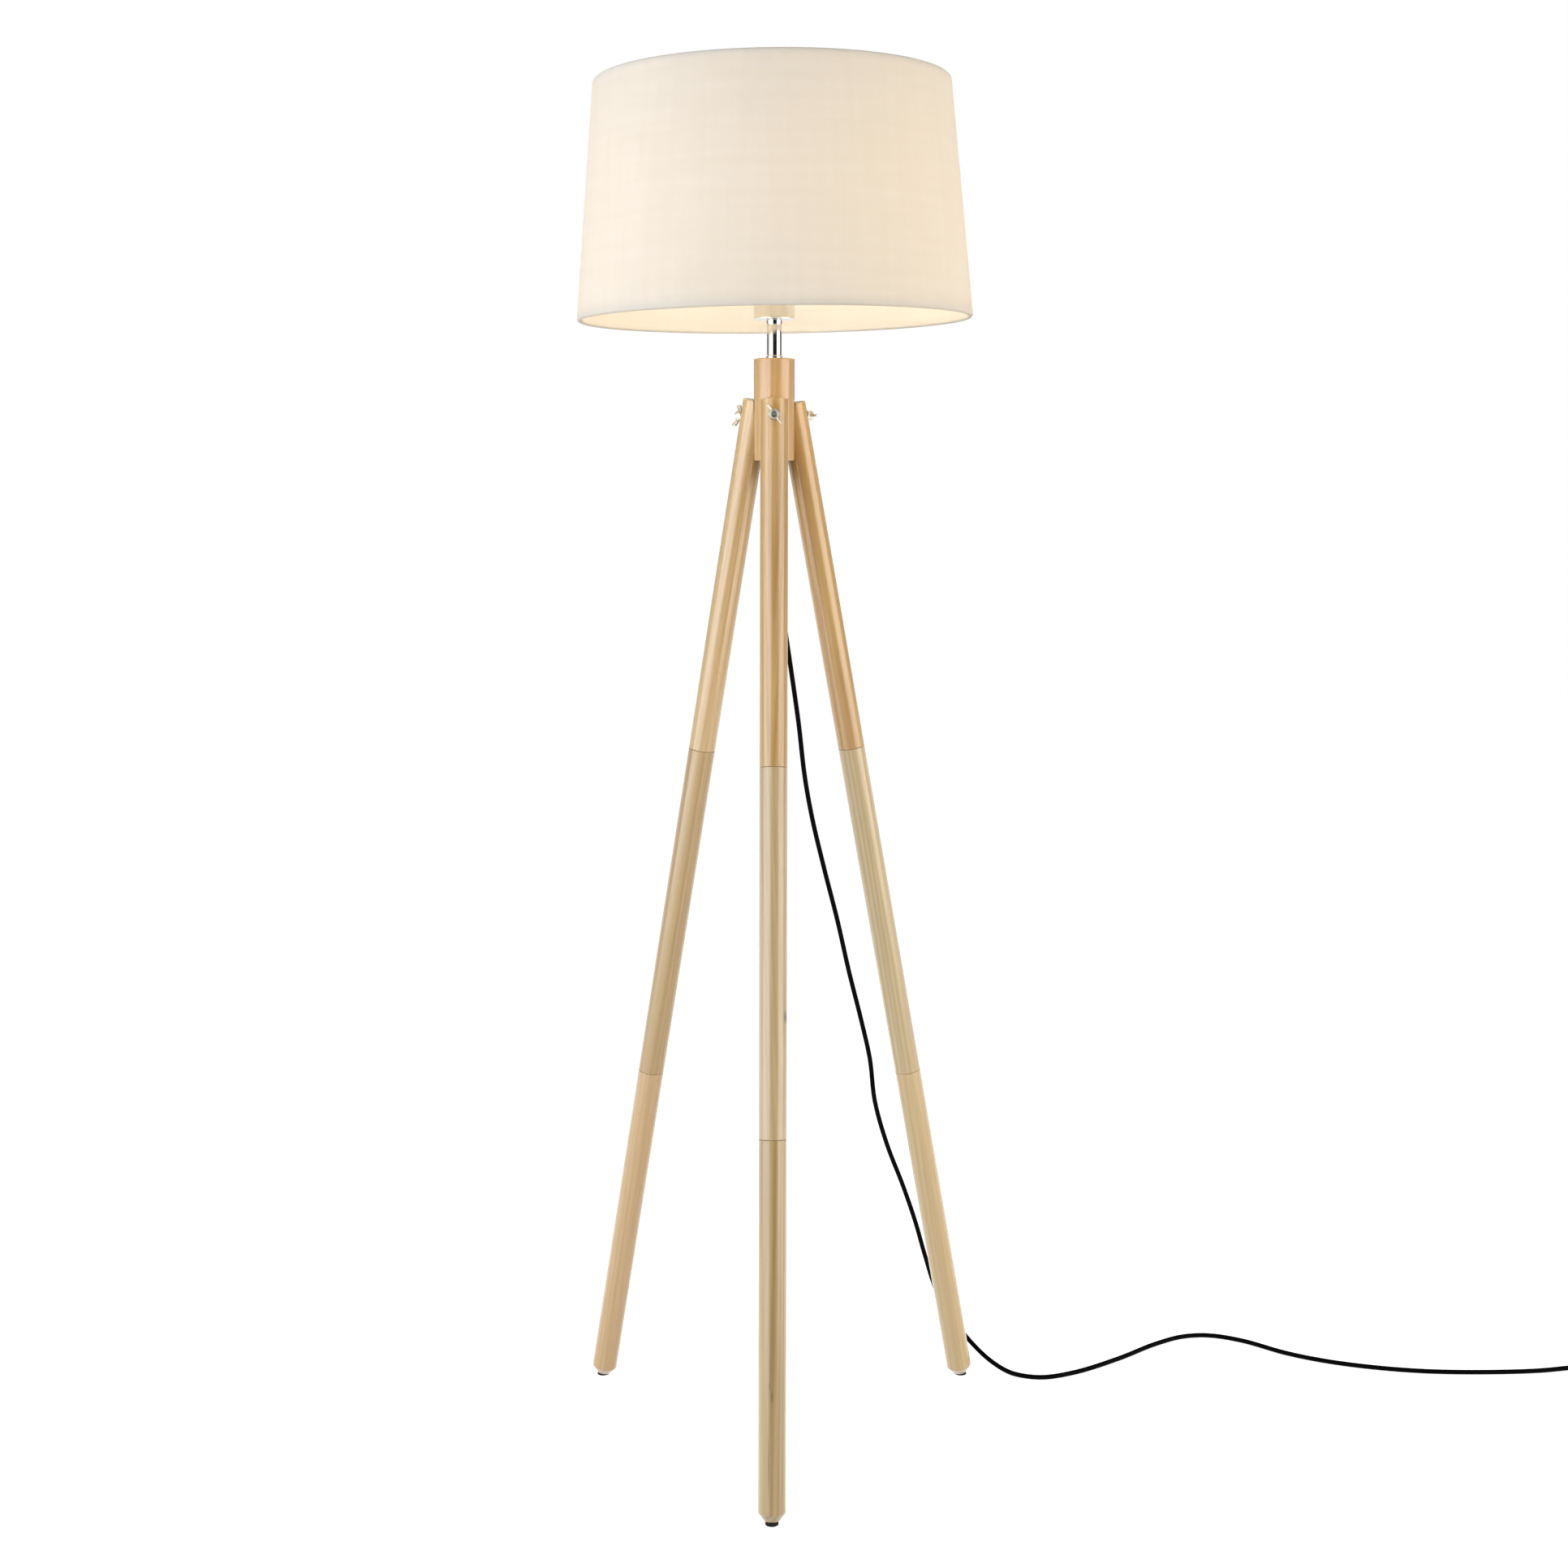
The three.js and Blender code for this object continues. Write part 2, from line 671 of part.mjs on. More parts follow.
// The route hangs from the gland, passes behind the right leg and snakes away over the floor.
const leadRoute = [
  [0, 0, glandTip - gap],
  [0, 0, 1052],
  [1, 1, 1025],
  [5, 4, 975],
  [11, 9, 925],
  [19, 16, 870],
  [28, 23, 806],
  [35, 29, 745],
  [44, 37, 694],
  [58, 49, 634],
  [74, 62, 570],
  [88, 74, 507],
  [103, 87, 446],
  [114, 96, 396],
  [120, 101, 345],
  [135, 115, 289],
  [156, 133, 231],
  [172, 147, 182],
  [185, 158, 135],
  [200, 166, 88],
  [219, 169, 54],
  [240, 163, 28],
  [262, 147, 11],
  [284, 127, 3.6],
  [302, 116, cordLevel],
  [326, 112, cordLevel],
  [366, 127, cordLevel],
  [425, 168, cordLevel],
  [478, 213, cordLevel],
  [518, 237, cordLevel],
  [552, 240, cordLevel],
  [590, 223, cordLevel],
  [635, 185, cordLevel],
  [679, 160, cordLevel],
  [730, 142, cordLevel],
  [790, 130, cordLevel],
  [860, 127, cordLevel],
  [930, 131, 3],
  [975, 134.6, 5.6],
  [switchCentre[0] - switchLength / 2 - bootLength - 3 * gap, switchCentre[1], switchEntry],
];

function makeCord() {
  const eye = cordRadius + gap;
  const flangeTop = hubBottom - gap;
  const flangeBottom = flangeTop - glandFlange;
  const inHub = counterboreRadius - gap;
  add(lamp, "cord_gland", lathe([
    [eye, glandTip],
    [glandTipRadius, glandTip],
    [glandRadius, glandTip + glandTaper],
    [glandRadius, flangeBottom],
    [glandFlangeRadius, flangeBottom],
    [glandFlangeRadius, flangeTop],
    [inHub, flangeTop],
    [inHub, hubBottom + glandInHub],
    [eye, hubBottom + glandInHub],
    [eye, glandTip],
  ], 20), blackPlastic);
  add(lamp, "cord_inside_stem", rod(cordRadius, glandTip + gap, cordInsideTop, 12), blackPlastic);
  add(lamp, "cord_lead", tubeAlong(leadRoute, cordRadius, 8, 72), blackPlastic);

  const [cx, cy] = coilCentre;
  const stackTop = 2 * cordLevel + 2 * cordRadius * (coilTurns - 0.25);
  const coil = ring(coilMiddle - cordRadius, coilMiddle + cordRadius, 0.1, stackTop, 32);
  add(lamp, "cord_coil", coil.translate(cx, cy, 0), blackPlastic);

  const [switchX, switchY] = switchCentre;
  const runStart = switchX + switchLength / 2 + bootLength + 3 * gap;
  const coilStart = cx + coilEntry[0];
  const run = [
    [runStart, switchY, switchEntry],
    [runStart + 9, switchY, 5.2],
    [coilStart - 8, cy + coilEntry[1] - 1.6, 3.4],
    [coilStart, cy + coilEntry[1], cordLevel],
  ];
  add(lamp, "cord_run", tubeAlong(run, cordRadius, 8, 6), blackPlastic);

  const tailX = cx + plugTail[0];
  const tailEnd = cy + plugTail[1];
  const tailStart = cy - coilMiddle / 2 + 0.75;
  const tail = [
    [tailX - 0.4, tailStart, 13],
    [tailX, tailStart - 16, 11],
    [tailX, tailEnd + 14, 8.2],
    [tailX, tailEnd + gap, plugThickness / 2 + gap],
  ];
  add(lamp, "cord_tail", tubeAlong(tail, cordRadius, 8, 8), blackPlastic);
  makePlug(tailX, tailEnd);
}

// A flat two-pin plug that lies on its side, with its tapered tail towards the coil.
function makePlug(x, y) {
  const plug = new THREE.Group();
  plug.position.set(x, y, plugThickness / 2 + gap);
  plug.rotation.x = Math.PI / 2;
  lamp.add(plug);
  const half = plugWidth / 2;
  const cornerX = half - plugCorner;
  const cornerY = plugLength - plugCorner;
  const outline = new THREE.Shape();
  outline.moveTo(-plugNeck, 0);
  outline.lineTo(plugNeck, 0);
  outline.quadraticCurveTo(half, plugCorner, half, plugShoulder);
  outline.absarc(cornerX, cornerY, plugCorner, 0, Math.PI / 2, false);
  outline.absarc(-cornerX, cornerY, plugCorner, Math.PI / 2, Math.PI, false);
  outline.lineTo(-half, plugShoulder);
  outline.quadraticCurveTo(-half, plugCorner, -plugNeck, 0);
  const slab = extruded(outline, -plugThickness / 2, plugThickness / 2, plugEdge);
  slab.rotateX(Math.PI / 2).translate(0, 0, bootLength);
  const taper = lathe([
    [0, 0],
    [plugTipRadius, 0],
    [plugTailRadius, bootLength],
    [plugTailRadius, bootLength + plugOverlap],
    [0, bootLength + plugOverlap],
  ], 16);
  const face = plugLength + bootLength;
  const holes = [-pinOffset, pinOffset].map((offset) => {
    return rod(pinRadius + gap, face - pinDepth, face + 1, 12).translate(offset, 0, 0);
  });
  add(plug, "plug_body", cut(join(slab, taper), ...holes), blackPlastic);
  const pinBottom = face - pinDepth + gap;
  const pinTop = face + pinReach;
  for (const [name, offset] of [["plug_pin_left", -pinOffset], ["plug_pin_right", pinOffset]]) {
    const pin = lathe([
      [0, pinBottom],
      [pinRadius, pinBottom],
      [pinRadius, pinTop - 1],
      [pinTipRadius, pinTop],
      [0, pinTop],
    ], 12);
    add(plug, name, pin.translate(offset, 0, 0), zinc);
  }
}

function makeSwitch() {
  const foot = new THREE.Group();
  foot.position.set(switchCentre[0], switchCentre[1], 0);
  lamp.add(foot);
  const outer = stadium(switchLength, switchWidth);
  const inner = stadium(switchLength - 2 * switchWall, switchWidth - 2 * switchWall);
  const tray = extruded(inner, switchWall, switchSplit + 1);
  add(foot, "switch_base", cut(extruded(outer, 0, switchSplit), tray), blackPlastic);
  const underCover = switchTop - coverThickness;
  const cover = extruded(outer, switchSplit - switchEdge, switchTop, switchEdge);
  const belowSplit = switchSplit + gap - cutterReach / 2;
  const trim = box(2 * cutterReach, cutterReach, cutterReach, 0, 0, belowSplit);
  const cavity = extruded(inner, switchSplit - 1, underCover);
  const hole = rod(buttonRadius + gap, switchSplit, switchTop + 1, 28);
  add(foot, "switch_cover", cut(cover, trim, cavity, hole), blackPlastic);
  const flangeBottom = underCover - 4;
  const stemBottom = switchTop - 5;
  add(foot, "switch_button", lathe([
    [0, stemBottom],
    [buttonRadius - buttonFlange, stemBottom],
    [buttonRadius - buttonFlange, flangeBottom],
    [buttonRadius + buttonFlange, flangeBottom],
    [buttonRadius + buttonFlange, underCover - gap],
    [buttonRadius, underCover - gap],
    [buttonRadius, switchTop + buttonRise - 1.6],
    [buttonRadius - 1.2, switchTop + buttonRise - 0.6],
    [0, switchTop + buttonRise],
  ], 28), blackPlastic);
  const eye = cordRadius + gap;
  const boot = [[eye, 0], [bootTipRadius, 0], [bootRadius, bootLength], [eye, bootLength], [eye, 0]];
  for (const [name, side] of [["switch_boot_in", -1], ["switch_boot_out", 1]]) {
    const sleeve = add(foot, name, lathe(boot, 16), blackPlastic);
    sleeve.position.set(side * (switchLength / 2 + gap + bootLength), 0, switchEntry);
    sleeve.rotation.y = (-side * Math.PI) / 2;
  }
}

// ---------------------------------------------------------------- assembly

makeHub();
for (const leg of legs) {
  makeLeg(leg);
  makeLegFastening(leg);
}
makeStem();
makeHolder();
makeShade();
makeCord();
makeSwitch();

export default root;
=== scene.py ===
"""Tripod floor lamp: its looks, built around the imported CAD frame. Metres, +Z up, floor at z = 0.
Profiles and small parts are written in millimetres and scaled by MM where they become a mesh."""

import math
from types import SimpleNamespace

import bmesh
import bpy
from mathutils import Matrix, Vector


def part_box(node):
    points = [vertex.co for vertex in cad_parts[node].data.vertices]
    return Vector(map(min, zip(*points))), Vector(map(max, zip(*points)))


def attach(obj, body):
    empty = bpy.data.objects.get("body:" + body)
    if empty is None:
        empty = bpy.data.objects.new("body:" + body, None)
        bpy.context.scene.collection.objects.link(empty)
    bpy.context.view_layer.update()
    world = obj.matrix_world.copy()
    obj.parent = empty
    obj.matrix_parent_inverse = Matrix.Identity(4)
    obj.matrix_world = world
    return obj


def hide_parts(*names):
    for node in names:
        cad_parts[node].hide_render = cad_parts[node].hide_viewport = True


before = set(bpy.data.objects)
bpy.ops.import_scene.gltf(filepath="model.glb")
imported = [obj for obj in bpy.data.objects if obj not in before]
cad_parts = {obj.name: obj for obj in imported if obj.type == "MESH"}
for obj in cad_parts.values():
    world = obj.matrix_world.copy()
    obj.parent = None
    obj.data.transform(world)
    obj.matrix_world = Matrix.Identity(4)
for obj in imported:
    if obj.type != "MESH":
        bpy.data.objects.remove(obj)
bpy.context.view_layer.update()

MM = 0.001
UP = Vector((0, 0, 1))


def middle(node):
    low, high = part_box(node)
    return (low + high) / 2


AXIS = Vector((middle("hub").x, middle("hub").y, 0))  # where the hub's axis meets the floor
ON_AXIS = Matrix.Translation(AXIS)


def from_axis(point):
    """A point given in metres from the foot of the hub's axis, in the row frame."""
    return AXIS + Vector(point)


def add_object(name, data):
    made = bpy.data.objects.new(name, data)
    bpy.context.scene.collection.objects.link(made)
    return made


# ---------------------------------------------------------------- camera

CAMERA_DISTANCE = 2.464  # in front of the hub's axis
CAMERA_HEIGHT = 1.088
CAMERA_PITCH = 0.05  # radians below the horizon
LENS = 49.92
LENS_SHIFT = (0.0062, -0.1258)


def make_camera():
    data = bpy.data.cameras.new("camera")
    camera = add_object("camera", data)
    camera.location = from_axis((0, -CAMERA_DISTANCE, CAMERA_HEIGHT))
    camera.rotation_euler = (math.pi / 2 - CAMERA_PITCH, 0, 0)
    data.sensor_width = 36
    data.lens = LENS
    data.shift_x, data.shift_y = LENS_SHIFT
    data.clip_start, data.clip_end = 0.05, 60
    bpy.context.scene.camera = camera


make_camera()

# ---------------------------------------------------------------- materials


def colour(text):
    """Linear RGBA of a colour written as it looks on screen, such as d9ab77."""
    parts = [int(text[i : i + 2], 16) / 255 for i in (0, 2, 4)]
    linear = [c / 12.92 if c <= 0.04045 else ((c + 0.055) / 1.055) ** 2.4 for c in parts]
    return (*linear, 1.0)


def add_node(tree, kind, inputs=(), **settings):
    """A new shader node. Each input is either linked to a socket or given a value."""
    made = tree.nodes.new(f"ShaderNode{kind}")
    for key, value in settings.items():
        setattr(made, key, value)
    for key, value in dict(inputs).items():
        if isinstance(value, bpy.types.NodeSocket):
            tree.links.new(value, made.inputs[key])
        else:
            made.inputs[key].default_value = value
    return made


class Surface:
    """A material with one Principled shader, and short ways to add nodes to it."""

    MIX_A, MIX_B, MIX_RESULT = 6, 7, 2  # a colour mix node's sockets share their names with its other kinds

    def __init__(self, name, **uniform):
        self.material = bpy.data.materials.new(name)
        self.material.use_nodes = True
        self.tree = self.material.node_tree
        self.tree.nodes.clear()
        inputs = {key.replace("_", " "): value for key, value in uniform.items()}
        self.shader = self.node("BsdfPrincipled", inputs)
        self.output = self.node("OutputMaterial", {"Surface": self.shader.outputs["BSDF"]})

    def node(self, kind, inputs=(), **settings):
        return add_node(self.tree, kind, inputs, **settings)

    def set(self, key, socket):
        self.tree.links.new(socket, self.shader.inputs[key])

    def place(self, scale=(1, 1, 1), offset=(0, 0, 0), turn=(0, 0, 0), source=None):
        """Object coordinates, moved, turned and scaled."""
        if source is None:
            source = self.node("TexCoord").outputs["Object"]
        inputs = {"Vector": source, "Location": offset, "Rotation": turn, "Scale": scale}
        return self.node("Mapping", inputs).outputs["Vector"]

    def noise(self, scale, vector=None, detail=2.0, roughness=0.5):
        if vector is None:
            vector = self.place()
        inputs = {"Vector": vector, "Scale": scale, "Detail": detail, "Roughness": roughness}
        return self.node("TexNoise", inputs).outputs["Fac"]

    def wave(self, scale, vector, distortion, detail=2.0, **settings):
        inputs = {"Vector": vector, "Scale": scale, "Distortion": distortion, "Detail": detail}
        return self.node("TexWave", inputs, **settings).outputs["Fac"]

    def stretch(self, value, low, high, to_low=0.0, to_high=1.0):
        inputs = {"Value": value, "From Min": low, "From Max": high, "To Min": to_low, "To Max": to_high}
        return self.node("MapRange", inputs).outputs["Result"]

    def maths(self, operation, a, b):
        return self.node("Math", {0: a, 1: b}, operation=operation).outputs["Value"]

    def mix(self, factor, a, b, blend="MIX"):
        inputs = {"Factor": factor, self.MIX_A: a, self.MIX_B: b}
        return self.node("Mix", inputs, data_type="RGBA", blend_type=blend).outputs[self.MIX_RESULT]

    def bump(self, height, distance, strength=1.0):
        inputs = {"Strength": strength, "Distance": distance, "Height": height}
        self.set("Normal", self.node("Bump", inputs).outputs["Normal"])


def darker(tint, factor):
    """A linear colour with its red, green and blue multiplied."""
    return (*[factor * c for c in tint[:3]], 1.0)


def wood(name, light, dark, seed, contrast, marks=()):
    """Lacquered straight-grained wood. The grain runs along the piece's own Z axis.
    marks are knots and heartwood streaks, and on the front upper section patches of painted shade: (x, y, z,
    width, length, strength) in the piece's metres."""
    surface = Surface(name, Roughness=0.3, Coat_Weight=1.0, Coat_Roughness=0.22, Specular_IOR_Level=0.5)
    shift = (0.031 * math.sin(7.1 * seed), 0.045 + 0.008 * math.cos(3.7 * seed), 0.37 * seed)
    lean = (0.02 * math.sin(2.3 * seed), 0.024 * math.cos(5.9 * seed), 1.7 * seed)
    board = surface.place(offset=shift, turn=lean)
    flowing = surface.place(scale=(1, 1, 0.05), source=board)
    wobble = surface.noise(26, flowing, detail=3)
    rings = surface.wave(62, flowing, 2.6, detail=3, wave_type="RINGS", rings_direction="Z")
    fibres = surface.noise(620, surface.place(scale=(1, 1, 0.018), source=board), detail=4, roughness=0.7)
    streaks = surface.noise(150, surface.place(scale=(1, 1, 0.02), source=board), detail=3)
    grain = surface.stretch(rings, 0.1, 1.0, 0.4 - contrast / 2, 0.4 + contrast / 2)
    for pattern, reach in ((wobble, 0.2), (streaks, 0.2 * contrast)):
        grain = surface.maths("ADD", grain, surface.stretch(pattern, 0.3, 0.7, -reach, reach))
    tone = surface.mix(surface.stretch(grain, 0.0, 1.0), colour(light), colour(dark))
    pores = surface.stretch(fibres, 0.3, 0.72, 1.05, 0.86)
    shadow = surface.node("CombineColor", dict.fromkeys(("Red", "Green", "Blue"), pores)).outputs["Color"]
    tone = surface.mix(1.0, tone, shadow, blend="MULTIPLY")
    for mark in marks:
        tone = grain_and_shade_mark(surface, tone, mark, dark)
    surface.set("Base Color", tone)
    surface.set("Roughness", surface.stretch(fibres, 0.25, 0.75, 0.26, 0.36))
    surface.bump(fibres, 0.00012, 0.5)
    return surface.material


def grain_and_shade_mark(surface, tone, mark, dark):
    """A darker patch with soft ends, drawn out along the grain. It draws the knots and streaks, and the
    painted shade on the front upper section.
    """
    x, y, z, width, length, strength = mark
    squash = width / length
    near = surface.place(scale=(1, 1, squash), offset=(-x, -y, -z * squash))
    away = surface.node("VectorMath", {0: near}, operation="LENGTH").outputs["Value"]
    shape = surface.stretch(away, 0.15 * width, width, strength, 0.0)
    return surface.mix(shape, tone, darker(colour(dark), 0.1))


def metal(name, tint, roughness, mottle=0.04, spot=60.0, scratches=0.0):
    surface = Surface(name, Metallic=1.0)
    blotches = surface.noise(spot, detail=4, roughness=0.6)
    bright = colour(tint)
    surface.set("Base Color", surface.mix(blotches, darker(bright, 1 - 2 * mottle), bright))
    surface.set("Roughness", surface.stretch(blotches, 0.3, 0.7, 0.8 * roughness, 1.25 * roughness))
    if scratches:
        lines = surface.noise(900, surface.place(scale=(1, 1, 0.04)), detail=2)
        surface.bump(lines, scratches)
    return surface.material


def plastic(name, tint, roughness, texture=0.00006, scale=2500.0, **uniform):
    surface = Surface(name, **uniform)
    skin = surface.noise(scale, detail=2)
    patches = surface.noise(scale / 40, detail=3)
    base = colour(tint)
    surface.set("Base Color", surface.mix(patches, darker(base, 0.9), base))
    surface.set("Roughness", surface.stretch(patches, 0.3, 0.7, roughness - 0.05, roughness + 0.07))
    surface.bump(skin, texture, 0.6)
    return surface.material


CLOTH_RADIUS = 0.21  # the shade's radius at mid height, metres
THREADS = 1250.0  # threads in a metre
LIGHT_THROUGH = 0.3


def round_the_axis(surface, radius):
    """Coordinates on a round wall: metres round it, metres up it."""
    split = surface.node("SeparateXYZ", {0: surface.place()}).outputs
    towards_front = surface.maths("MULTIPLY", split["Y"], -1.0)
    angle = surface.maths("ARCTAN2", split["X"], towards_front)
    round_it = surface.maths("MULTIPLY", angle, radius)
    return surface.node("CombineXYZ", {"X": round_it, "Y": split["Z"]}).outputs["Vector"]


def shade_cloth(name, tint, shadow, weave):
    """Plain-woven cloth laminated to a clear liner. It lets part of the light through. The low places
    between its threads are darkened towards the shadow colour: painted shade.
    """
    surface = Surface(name, Roughness=0.85, Sheen_Weight=0.15, Sheen_Roughness=0.5)
    wall = round_the_axis(surface, CLOTH_RADIUS)
    slub = surface.noise(90, surface.place(scale=(0.06, 1, 1), source=wall), detail=3)
    slub_up = surface.noise(90, surface.place(scale=(1, 0.06, 1), source=wall), detail=3)
    warp, weft = (surface.wave(THREADS / 20 * math.pi, wall, 0.4, bands_direction=way) for way in "XY")
    cloth = surface.maths("MAXIMUM", warp, weft)
    uneven = surface.maths("MULTIPLY", slub, slub_up)
    tone = surface.mix(surface.stretch(uneven, 0.12, 0.4), colour(shadow), colour(tint))
    # painted shade: where warp and weft are both low, between the threads, the tone is pulled towards the
    # shadow colour
    tone = surface.mix(surface.stretch(cloth, 0.3, 1.0, 0.25, 0.0), tone, colour(shadow))
    surface.set("Base Color", tone)
    surface.bump(cloth, weave, 0.35)
    tinted = surface.mix(1.0, tone, colour("fff8e8"), blend="MULTIPLY")
    glow = surface.node("BsdfTranslucent", {"Color": tinted}).outputs["BSDF"]
    blend = surface.node("MixShader", {0: LIGHT_THROUGH, 1: surface.shader.outputs["BSDF"], 2: glow})
    surface.tree.links.new(blend.outputs["Shader"], surface.output.inputs["Surface"])
    return surface.material


def lit_glass(name):
    glow = {"Emission_Strength": 27.0, "Emission_Color": colour("fff2de")}
    surface = Surface(name, Roughness=0.35, IOR=1.46, **glow)
    frost = surface.noise(900, detail=3)
    surface.set("Base Color", surface.mix(frost, colour("fff4e2"), colour("ffffff")))
    surface.bump(frost, 0.00004, 0.4)
    return surface.material


CHROME = metal("chrome", "dfdcd6", 0.07, mottle=0.01, spot=30)
ZINC = metal("zinc_plating", "dad6ca", 0.34, mottle=0.12, spot=420, scratches=0.00002)
NICKEL = metal("nickel", "cfc9bb", 0.22, mottle=0.05, spot=300, scratches=0.00002)
BRASS = metal("brass", "d8b56a", 0.28, mottle=0.08, spot=250)
CAP_METAL = metal("bulb_cap_metal", "c9c9c8", 0.3, mottle=0.08, spot=200, scratches=0.00002)
RUBBER = plastic("rubber", "121110", 0.75, texture=0.0001, Specular_IOR_Level=0.25)
BLACK = plastic("black_plastic", "0b0b0c", 0.45, texture=0.00008, Specular_IOR_Level=0.3)
CORD_BLACK = plastic("cord_sheath", "020202", 0.6, texture=0.00004, scale=1500, Specular_IOR_Level=0.04)
HOLDER = plastic("holder_plastic", "ece6d8", 0.35, texture=0.00003)
CERAMIC = plastic("ceramic", "f2efe8", 0.22, texture=0.00003, scale=600)
WIRE_PAINT = plastic("wire_paint", "efede6", 0.4, texture=0.00003, scale=900)
CLOTH = shade_cloth("shade_cloth", "fcf8f2", "f9f4eb", weave=0.00016)
LINER = shade_cloth("shade_liner", "fcf8f1", "faf5ec", weave=0.00004)
BULB = lit_glass("bulb_glow")

# Light and dark colour, seed of the figure, and contrast, for each leg section.
LEG_WOODS = {
    "front_lower": ("dcbf87", "a78652", 1.3, 0.45),
    "front_middle": ("d8be90", "bb9666", 2.1, 0.25),
    "front_upper": ("dcb578", "b9894a", 3.2, 0.4),
    "left_lower": ("e4bf88", "bb925a", 4.6, 0.18),
    "left_middle": ("d0b078", "ad8850", 5.4, 0.35),
    "left_upper": ("e7c890", "c79a5f", 6.3, 0.2),
    "right_lower": ("f3d7a0", "c9a469", 7.9, 0.18),
    "right_middle": ("e9d19e", "bd9f6e", 8.2, 0.3),
    "right_upper": ("e6bd79", "c08a47", 9.7, 0.4),
}
MARKS = {
    "front_lower": [
        (0.0147, 0.0000, 0.130, 0.0020, 0.008, 0.40),
        (0.0144, -0.0025, 0.141, 0.0012, 0.006, 0.35),
        (0.0140, 0.0000, 0.160, 0.0060, 0.080, 0.12),
        (0.0144, -0.0035, 0.060, 0.0014, 0.036, 0.30),
        (0.0121, 0.0085, 0.224, 0.0014, 0.028, 0.25),
    ],
    "front_middle": [
        (0.0062, 0.0137, 0.519, 0.0050, 0.009, 0.95),
        (0.0050, 0.0142, 0.519, 0.0030, 0.006, 0.90),
        (0.0080, 0.0127, 0.530, 0.0070, 0.045, 0.18),
    ],
    # painted shade, not knots: two long faint patches darken the middle of the leg's front face, where the
    # dark card in front leaves it in shade
    "front_upper": [
        (0.0125, 0.0070, 1.085, 0.0120, 0.130, 0.17),
        (0.0145, 0.0030, 0.960, 0.0060, 0.120, 0.09),
    ],
}
WOOD_HUB = wood("wood_hub", "deba82", "c29054", 0.4, 0.2)
WOODS = {name: wood(f"wood_{name}", *look, MARKS.get(name, ())) for name, look in LEG_WOODS.items()}

# ---------------------------------------------------------------- shaping


def finish_mesh(name, bm, materials, sharp=35.0):
    """Makes an object of a bmesh, with its faces turned outward and its round parts smooth."""
    bmesh.ops.recalc_face_normals(bm, faces=bm.faces)
    mesh = bpy.data.meshes.new(name)
    bm.to_mesh(mesh)
    bm.free()
    for material in materials:
        mesh.materials.append(material)
    mesh.shade_smooth()
    mesh.set_sharp_from_angle(angle=math.radians(sharp))
    return add_object(name, mesh)


def fillet(profile, closed=False, steps=4):
    """Rounds the corners of a profile whose points are (radius, height) or (radius, height, fillet)."""
    rows = []
    last = len(profile) - 1
    for i, corner in enumerate(profile):
        here = Vector(corner[:2])
        size = corner[2] if len(corner) > 2 else 0
        if not size or (not closed and i in (0, last)):
            rows.append(here)
            continue
        back = Vector(profile[i - 1][:2]) - here
        ahead = Vector(profile[(i + 1) % len(profile)][:2]) - here
        reach = min(size, 0.45 * back.length, 0.45 * ahead.length)
        start = here + back.normalized() * reach
        end = here + ahead.normalized() * reach
        rows.append(start + back.normalized() * 0.1 * reach)
        for k in range(steps + 1):
            t = k / steps
            rows.append(start.lerp(here, t).lerp(here.lerp(end, t), t))
        rows.append(end + ahead.normalized() * 0.1 * reach)
    return rows


def circle(count):
    """Angles evenly spaced round a circle."""
    return [2 * math.pi * i / count for i in range(count)]


def add_rings(bm, rings, closed=False):
    """Joins rings of points in millimetres, each to the next. A ring of one point is a tip."""
    made = [[bm.verts.new([MM * c for c in point]) for point in ring] for ring in rings]
    following = made[1:] + (made[:1] if closed else [])
    for low, high in zip(made, following):
        count = max(len(low), len(high))
        for i in range(count):
            j = (i + 1) % count
            corners = [low[i % len(low)], low[j % len(low)], high[j % len(high)], high[i % len(high)]]
            corners = list(dict.fromkeys(corners))
            if len(corners) > 2:
                bm.faces.new(corners)
    return made


def revolve(bm, profile, segments=72, closed=False, steps=4):
    """Turns a profile in millimetres about Z. An open profile starts and ends on the axis."""
    rings = []
    for radius, height in fillet(profile, closed, steps):
        turn = circle(segments) if radius > 1e-6 else [0]
        rings.append([(radius * math.cos(a), radius * math.sin(a), height) for a in turn])
    add_rings(bm, rings, closed)


def lathe(name, profile, material, segments=72, closed=False, steps=4):
    bm = bmesh.new()
    revolve(bm, profile, segments, closed, steps)
    return finish_mesh(name, bm, [material])


def loft(bm, rings):
    """Joins rings of points in millimetres, and closes both ends."""
    made = add_rings(bm, rings)
    bm.faces.new(made[0][::-1])
    bm.faces.new(made[-1])


def settle(obj):
    """Applies an object's modifiers to its mesh."""
    bpy.context.view_layer.update()
    graph = bpy.context.evaluated_depsgraph_get()
    mesh = bpy.data.meshes.new_from_object(obj.evaluated_get(graph))
    obj.modifiers.clear()
    obj.data = mesh
    mesh.name = obj.name


def cut(obj, *cutters):
    """Cuts each cutter out of the object, and removes the cutters."""
    for cutter in cutters:
        modifier = obj.modifiers.new("cut", "BOOLEAN")
        modifier.operation = "DIFFERENCE"
        modifier.solver = "EXACT"
        modifier.object = cutter
    settle(obj)
    for cutter in cutters:
        bpy.data.objects.remove(cutter)
    obj.data.shade_smooth()
    obj.data.set_sharp_from_angle(angle=math.radians(35))


def block(size, centre, matrix):
    """A box to cut with, in millimetres, placed by a matrix."""
    bm = bmesh.new()
    bmesh.ops.create_cube(bm, size=1)
    for v in bm.verts:
        v.co = MM * Vector([c * length + shift for c, length, shift in zip(v.co, size, centre)])
    made = finish_mesh("cutter", bm, [])
    made.matrix_world = matrix
    return made


def peg(radius, z0, z1, matrix, segments=48):
    """A round bar to cut with, in millimetres, placed by a matrix."""
    bm = bmesh.new()
    revolve(bm, [(0, z0), (radius, z0), (radius, z1), (0, z1)], segments)
    made = finish_mesh("cutter", bm, [])
    made.matrix_world = matrix
    return made


